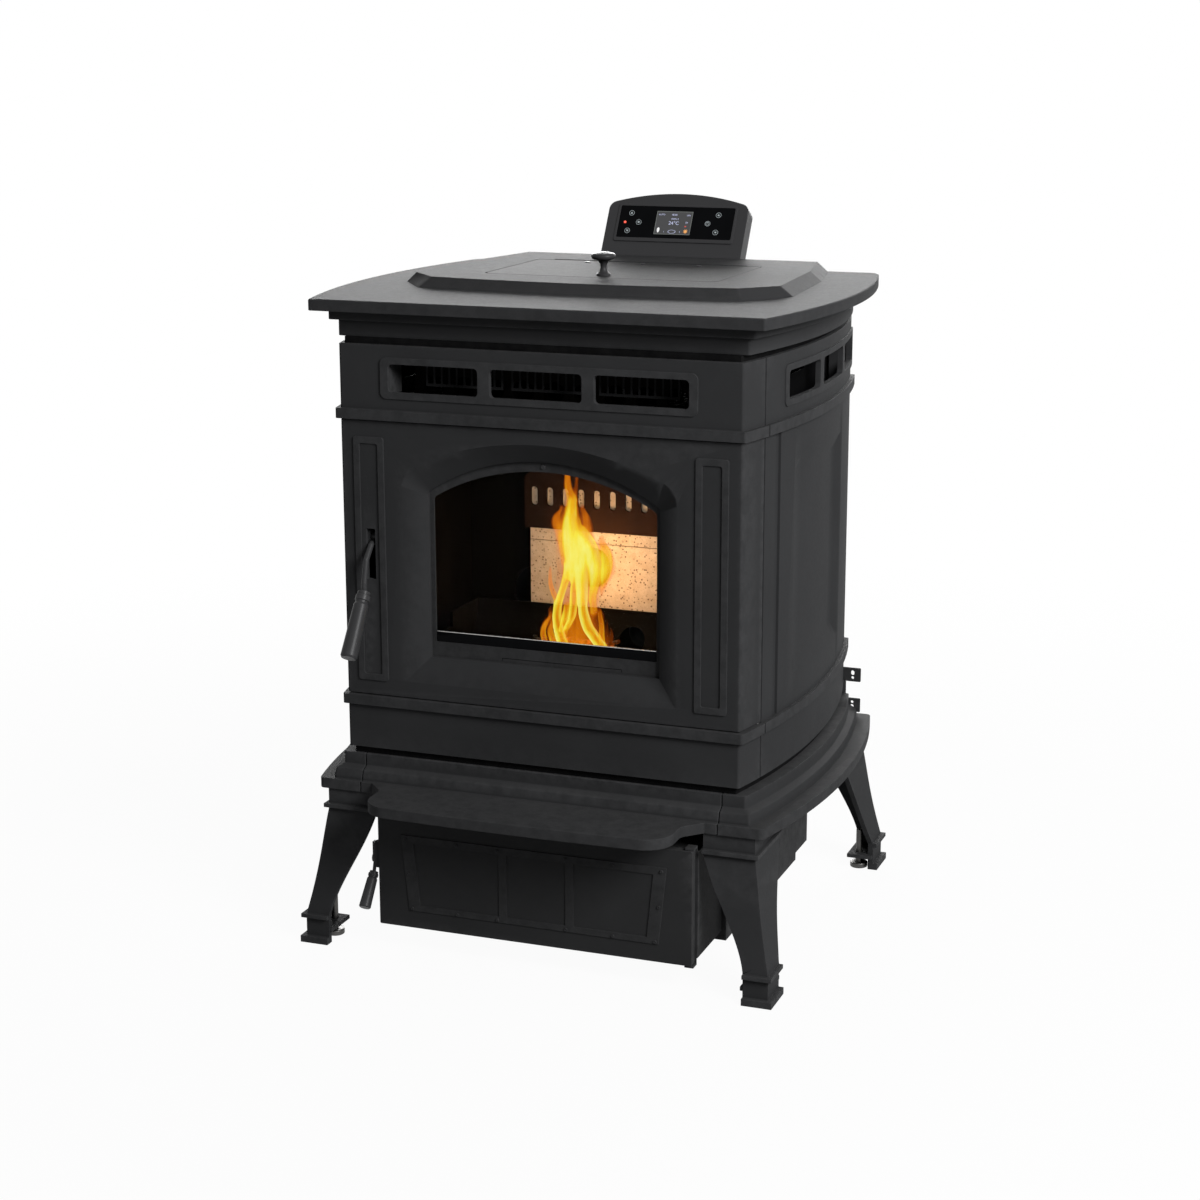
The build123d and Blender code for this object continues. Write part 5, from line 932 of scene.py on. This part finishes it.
def dressScreen():
    middleX, middleUp = (screen["left"] + screen["right"]) / 2, (screen["low"] + screen["high"]) / 2
    wide, tall = (screen["right"] - screen["left"]) / 2, (screen["high"] - screen["low"]) / 2
    out, rim = console["glassFront"], screen["rim"]
    dark = makeGlow("screenDark", (0.0016, 0.0020, 0.0045), 1.0)
    panel = flatShape(rectangle(-wide, wide, -tall, tall), screen["thick"])
    onConsole(panel, "screenPanel", middleX, middleUp, out, dark)
    rims = [rectangle(-wide, wide, -tall, -tall + rim), rectangle(-wide, wide, tall - rim, tall),
            rectangle(-wide, -wide + rim, -tall, tall), rectangle(wide - rim, wide, -tall, tall)]
    edge = joinPieces([flatShape(points, screen["rimRelief"]) for points in rims])
    onConsole(edge, "screenEdge", middleX, middleUp, out, makeGlow("screenRim", (0.30, 0.33, 0.30), 0.4))
    ink = makeGlow("screenInk", (0.62, 0.66, 0.95), 0.85)
    out += screen["thick"]
    for index, (text, size, across, up) in enumerate(words):
        onConsole(textPlate(text, size), "screenText%d" % index, middleX + across, middleUp + up,
                  out + relief / 2, ink)
    white = makeGlow("screenWhite", (1.0, 1.0, 1.0), 0.9)
    orange = makeGlow("screenOrange", (1.0, 0.42, 0.08), 0.9)
    red = makeGlow("screenRed", (0.9, 0.05, 0.03), 0.7)
    signs = [("screenDrop", flatShape(dropOutline(), relief), -22.5, -13.0, white),
             ("screenSun", flatShape(sunOutline(), relief), 21.5, -13.6, orange),
             ("screenLoop", flatRing(loop["outer"], loop["inner"], relief, 32, loop["squeeze"]),
              -0.5, -14.6, ink),
             ("screenMark", flatShape(rectangle(*mark), relief), 20.0, -5.4, red)]
    for label, piece, across, up, finish in signs:
        onConsole(piece, label, middleX + across, middleUp + up, out, finish)


def makeStatusLamp():
    piece = flatRing(statusLamp["radius"], 0, statusLamp["height"], 24)
    onConsole(piece, "lamp", statusLamp["across"], statusLamp["up"], console["glassFront"],
              makeGlow("lampRed", (1.0, 0.08, 0.04), 1.6))


dressKeys()
dressScreen()
makeStatusLamp()
print("console dressed")


# floor, lights and camera

def makeFloor():
    look = {"radius": 30.0, "z": -0.0002, "grey": 0.4, "white": 0.955, "fadeFrom": 1.0, "fadeTo": 2.4}
    deselectAll()
    bpy.ops.mesh.primitive_circle_add(vertices=96, radius=look["radius"], fill_type="NGON",
                                      location=(0, 0, look["z"]))
    floor = bpy.context.object
    floor.name = "floor"
    material = bpy.data.materials.new("paleFloor")
    material.use_nodes = True
    tree = material.node_tree
    tree.nodes.clear()
    paths = put(tree, "LightPath").outputs
    seen = calc(tree, "ADD", paths["Is Camera Ray"], paths["Is Glossy Ray"], clamp=True)
    seen = calc(tree, "ADD", seen, paths["Is Transmission Ray"], clamp=True)
    place = put(tree, "TexCoord").outputs["Object"]
    away = put(tree, "VectorMath", {0: place}, operation="LENGTH").outputs["Value"]
    plain = put(tree, "MapRange", {"Value": away, "From Min": look["fadeFrom"], "From Max": look["fadeTo"],
                                   "To Min": look["white"], "To Max": 1.0}, clamp=True).outputs["Result"]
    matte = put(tree, "BsdfDiffuse", {"Color": (look["grey"], look["grey"], look["grey"], 1.0)})
    white = put(tree, "Emission", {"Color": (1, 1, 1, 1), "Strength": 1.0})
    mixed = put(tree, "MixShader", {"Fac": calc(tree, "MULTIPLY", seen, plain)})
    tree.links.new(matte.outputs[0], mixed.inputs[1])
    tree.links.new(white.outputs[0], mixed.inputs[2])
    output = put(tree, "OutputMaterial")
    tree.links.new(mixed.outputs[0], output.inputs["Surface"])
    floor.data.materials.append(material)


# white to the camera and in reflections; soft daylight from above for everything else
def makeWorld():
    look = {"below": (0.62, 0.62, 0.62), "above": (1.0, 1.0, 1.0), "light": 0.22}
    world = bpy.data.worlds.new("studio")
    bpy.context.scene.world = world
    world.use_nodes = True
    tree = world.node_tree
    tree.nodes.clear()
    paths = put(tree, "LightPath").outputs
    seen = calc(tree, "ADD", paths["Is Camera Ray"], paths["Is Glossy Ray"], clamp=True)
    seen = calc(tree, "ADD", seen, paths["Is Transmission Ray"], clamp=True)
    place = put(tree, "TexCoord").outputs["Generated"]
    up = put(tree, "SeparateXYZ", {"Vector": place}).outputs["Z"]
    sky = mixColour(tree, ramp(tree, up, -0.1, 0.9), look["below"], look["above"])
    soft = put(tree, "Background", {"Color": sky, "Strength": look["light"]})
    white = put(tree, "Background", {"Color": (1, 1, 1, 1), "Strength": 1.0})
    mixed = put(tree, "MixShader", {"Fac": seen})
    tree.links.new(soft.outputs[0], mixed.inputs[1])
    tree.links.new(white.outputs[0], mixed.inputs[2])
    output = put(tree, "OutputWorld")
    tree.links.new(mixed.outputs[0], output.inputs["Surface"])


softboxes = {
    "rearSoftbox": {"place": (-0.9, 4.2, 2.0), "target": (0, 0, 0.9), "wide": 4.5, "tall": 1.6,
                    "watts": 300},
    "keySoftbox": {"place": (3.0, -1.85, 2.5), "target": (0, 0, 0.6), "wide": 1.6, "tall": 1.6,
                   "watts": 270},
}
fireLight = {"place": (0.02, -0.105, 0.535), "watts": 1.15, "colour": (1.0, 0.68, 0.44), "radius": 0.03}


def makeSoftbox(label, look):
    deselectAll()
    bpy.ops.object.light_add(type="AREA", location=look["place"])
    lamp = bpy.context.object
    lamp.name = label
    lamp.data.shape = "RECTANGLE"
    lamp.data.size = look["wide"]
    lamp.data.size_y = look["tall"]
    lamp.data.energy = look["watts"]
    lamp.visible_camera = False
    way = Vector(look["target"]) - Vector(look["place"])
    lamp.rotation_euler = way.to_track_quat("-Z", "Y").to_euler()


# what the fire throws on the firebox; the flame itself is seen, this lamp isn't
def makeFireLight():
    deselectAll()
    bpy.ops.object.light_add(type="POINT", location=fireLight["place"])
    lamp = bpy.context.object
    lamp.name = "fireGlow"
    lamp.data.energy = fireLight["watts"]
    lamp.data.color = fireLight["colour"]
    lamp.data.shadow_soft_size = fireLight["radius"]
    lamp.visible_camera = False
    lamp.visible_glossy = False
    lamp.visible_transmission = False


makeFloor()
makeWorld()
for label, look in softboxes.items():
    makeSoftbox(label, look)
makeFireLight()

# camera solved from the photograph: place in metres, turn and roll in radians, tilt in degrees
view = {"lens": 71.86, "place": (1.18498, -3.18294, 1.29425), "turn": 0.3592, "tilt": 13.77,
        "roll": -0.0019}
bpy.ops.object.camera_add()
camera = bpy.context.object
camera.data.lens = view["lens"]
camera.matrix_world = (Matrix.Translation(view["place"]) @ Matrix.Rotation(view["turn"], 4, "Z")
                       @ Matrix.Rotation(math.radians(90 - view["tilt"]), 4, "X")
                       @ Matrix.Rotation(view["roll"], 4, "Z"))
bpy.context.scene.camera = camera
bpy.context.scene.view_settings.view_transform = "Standard"
print("studio set")
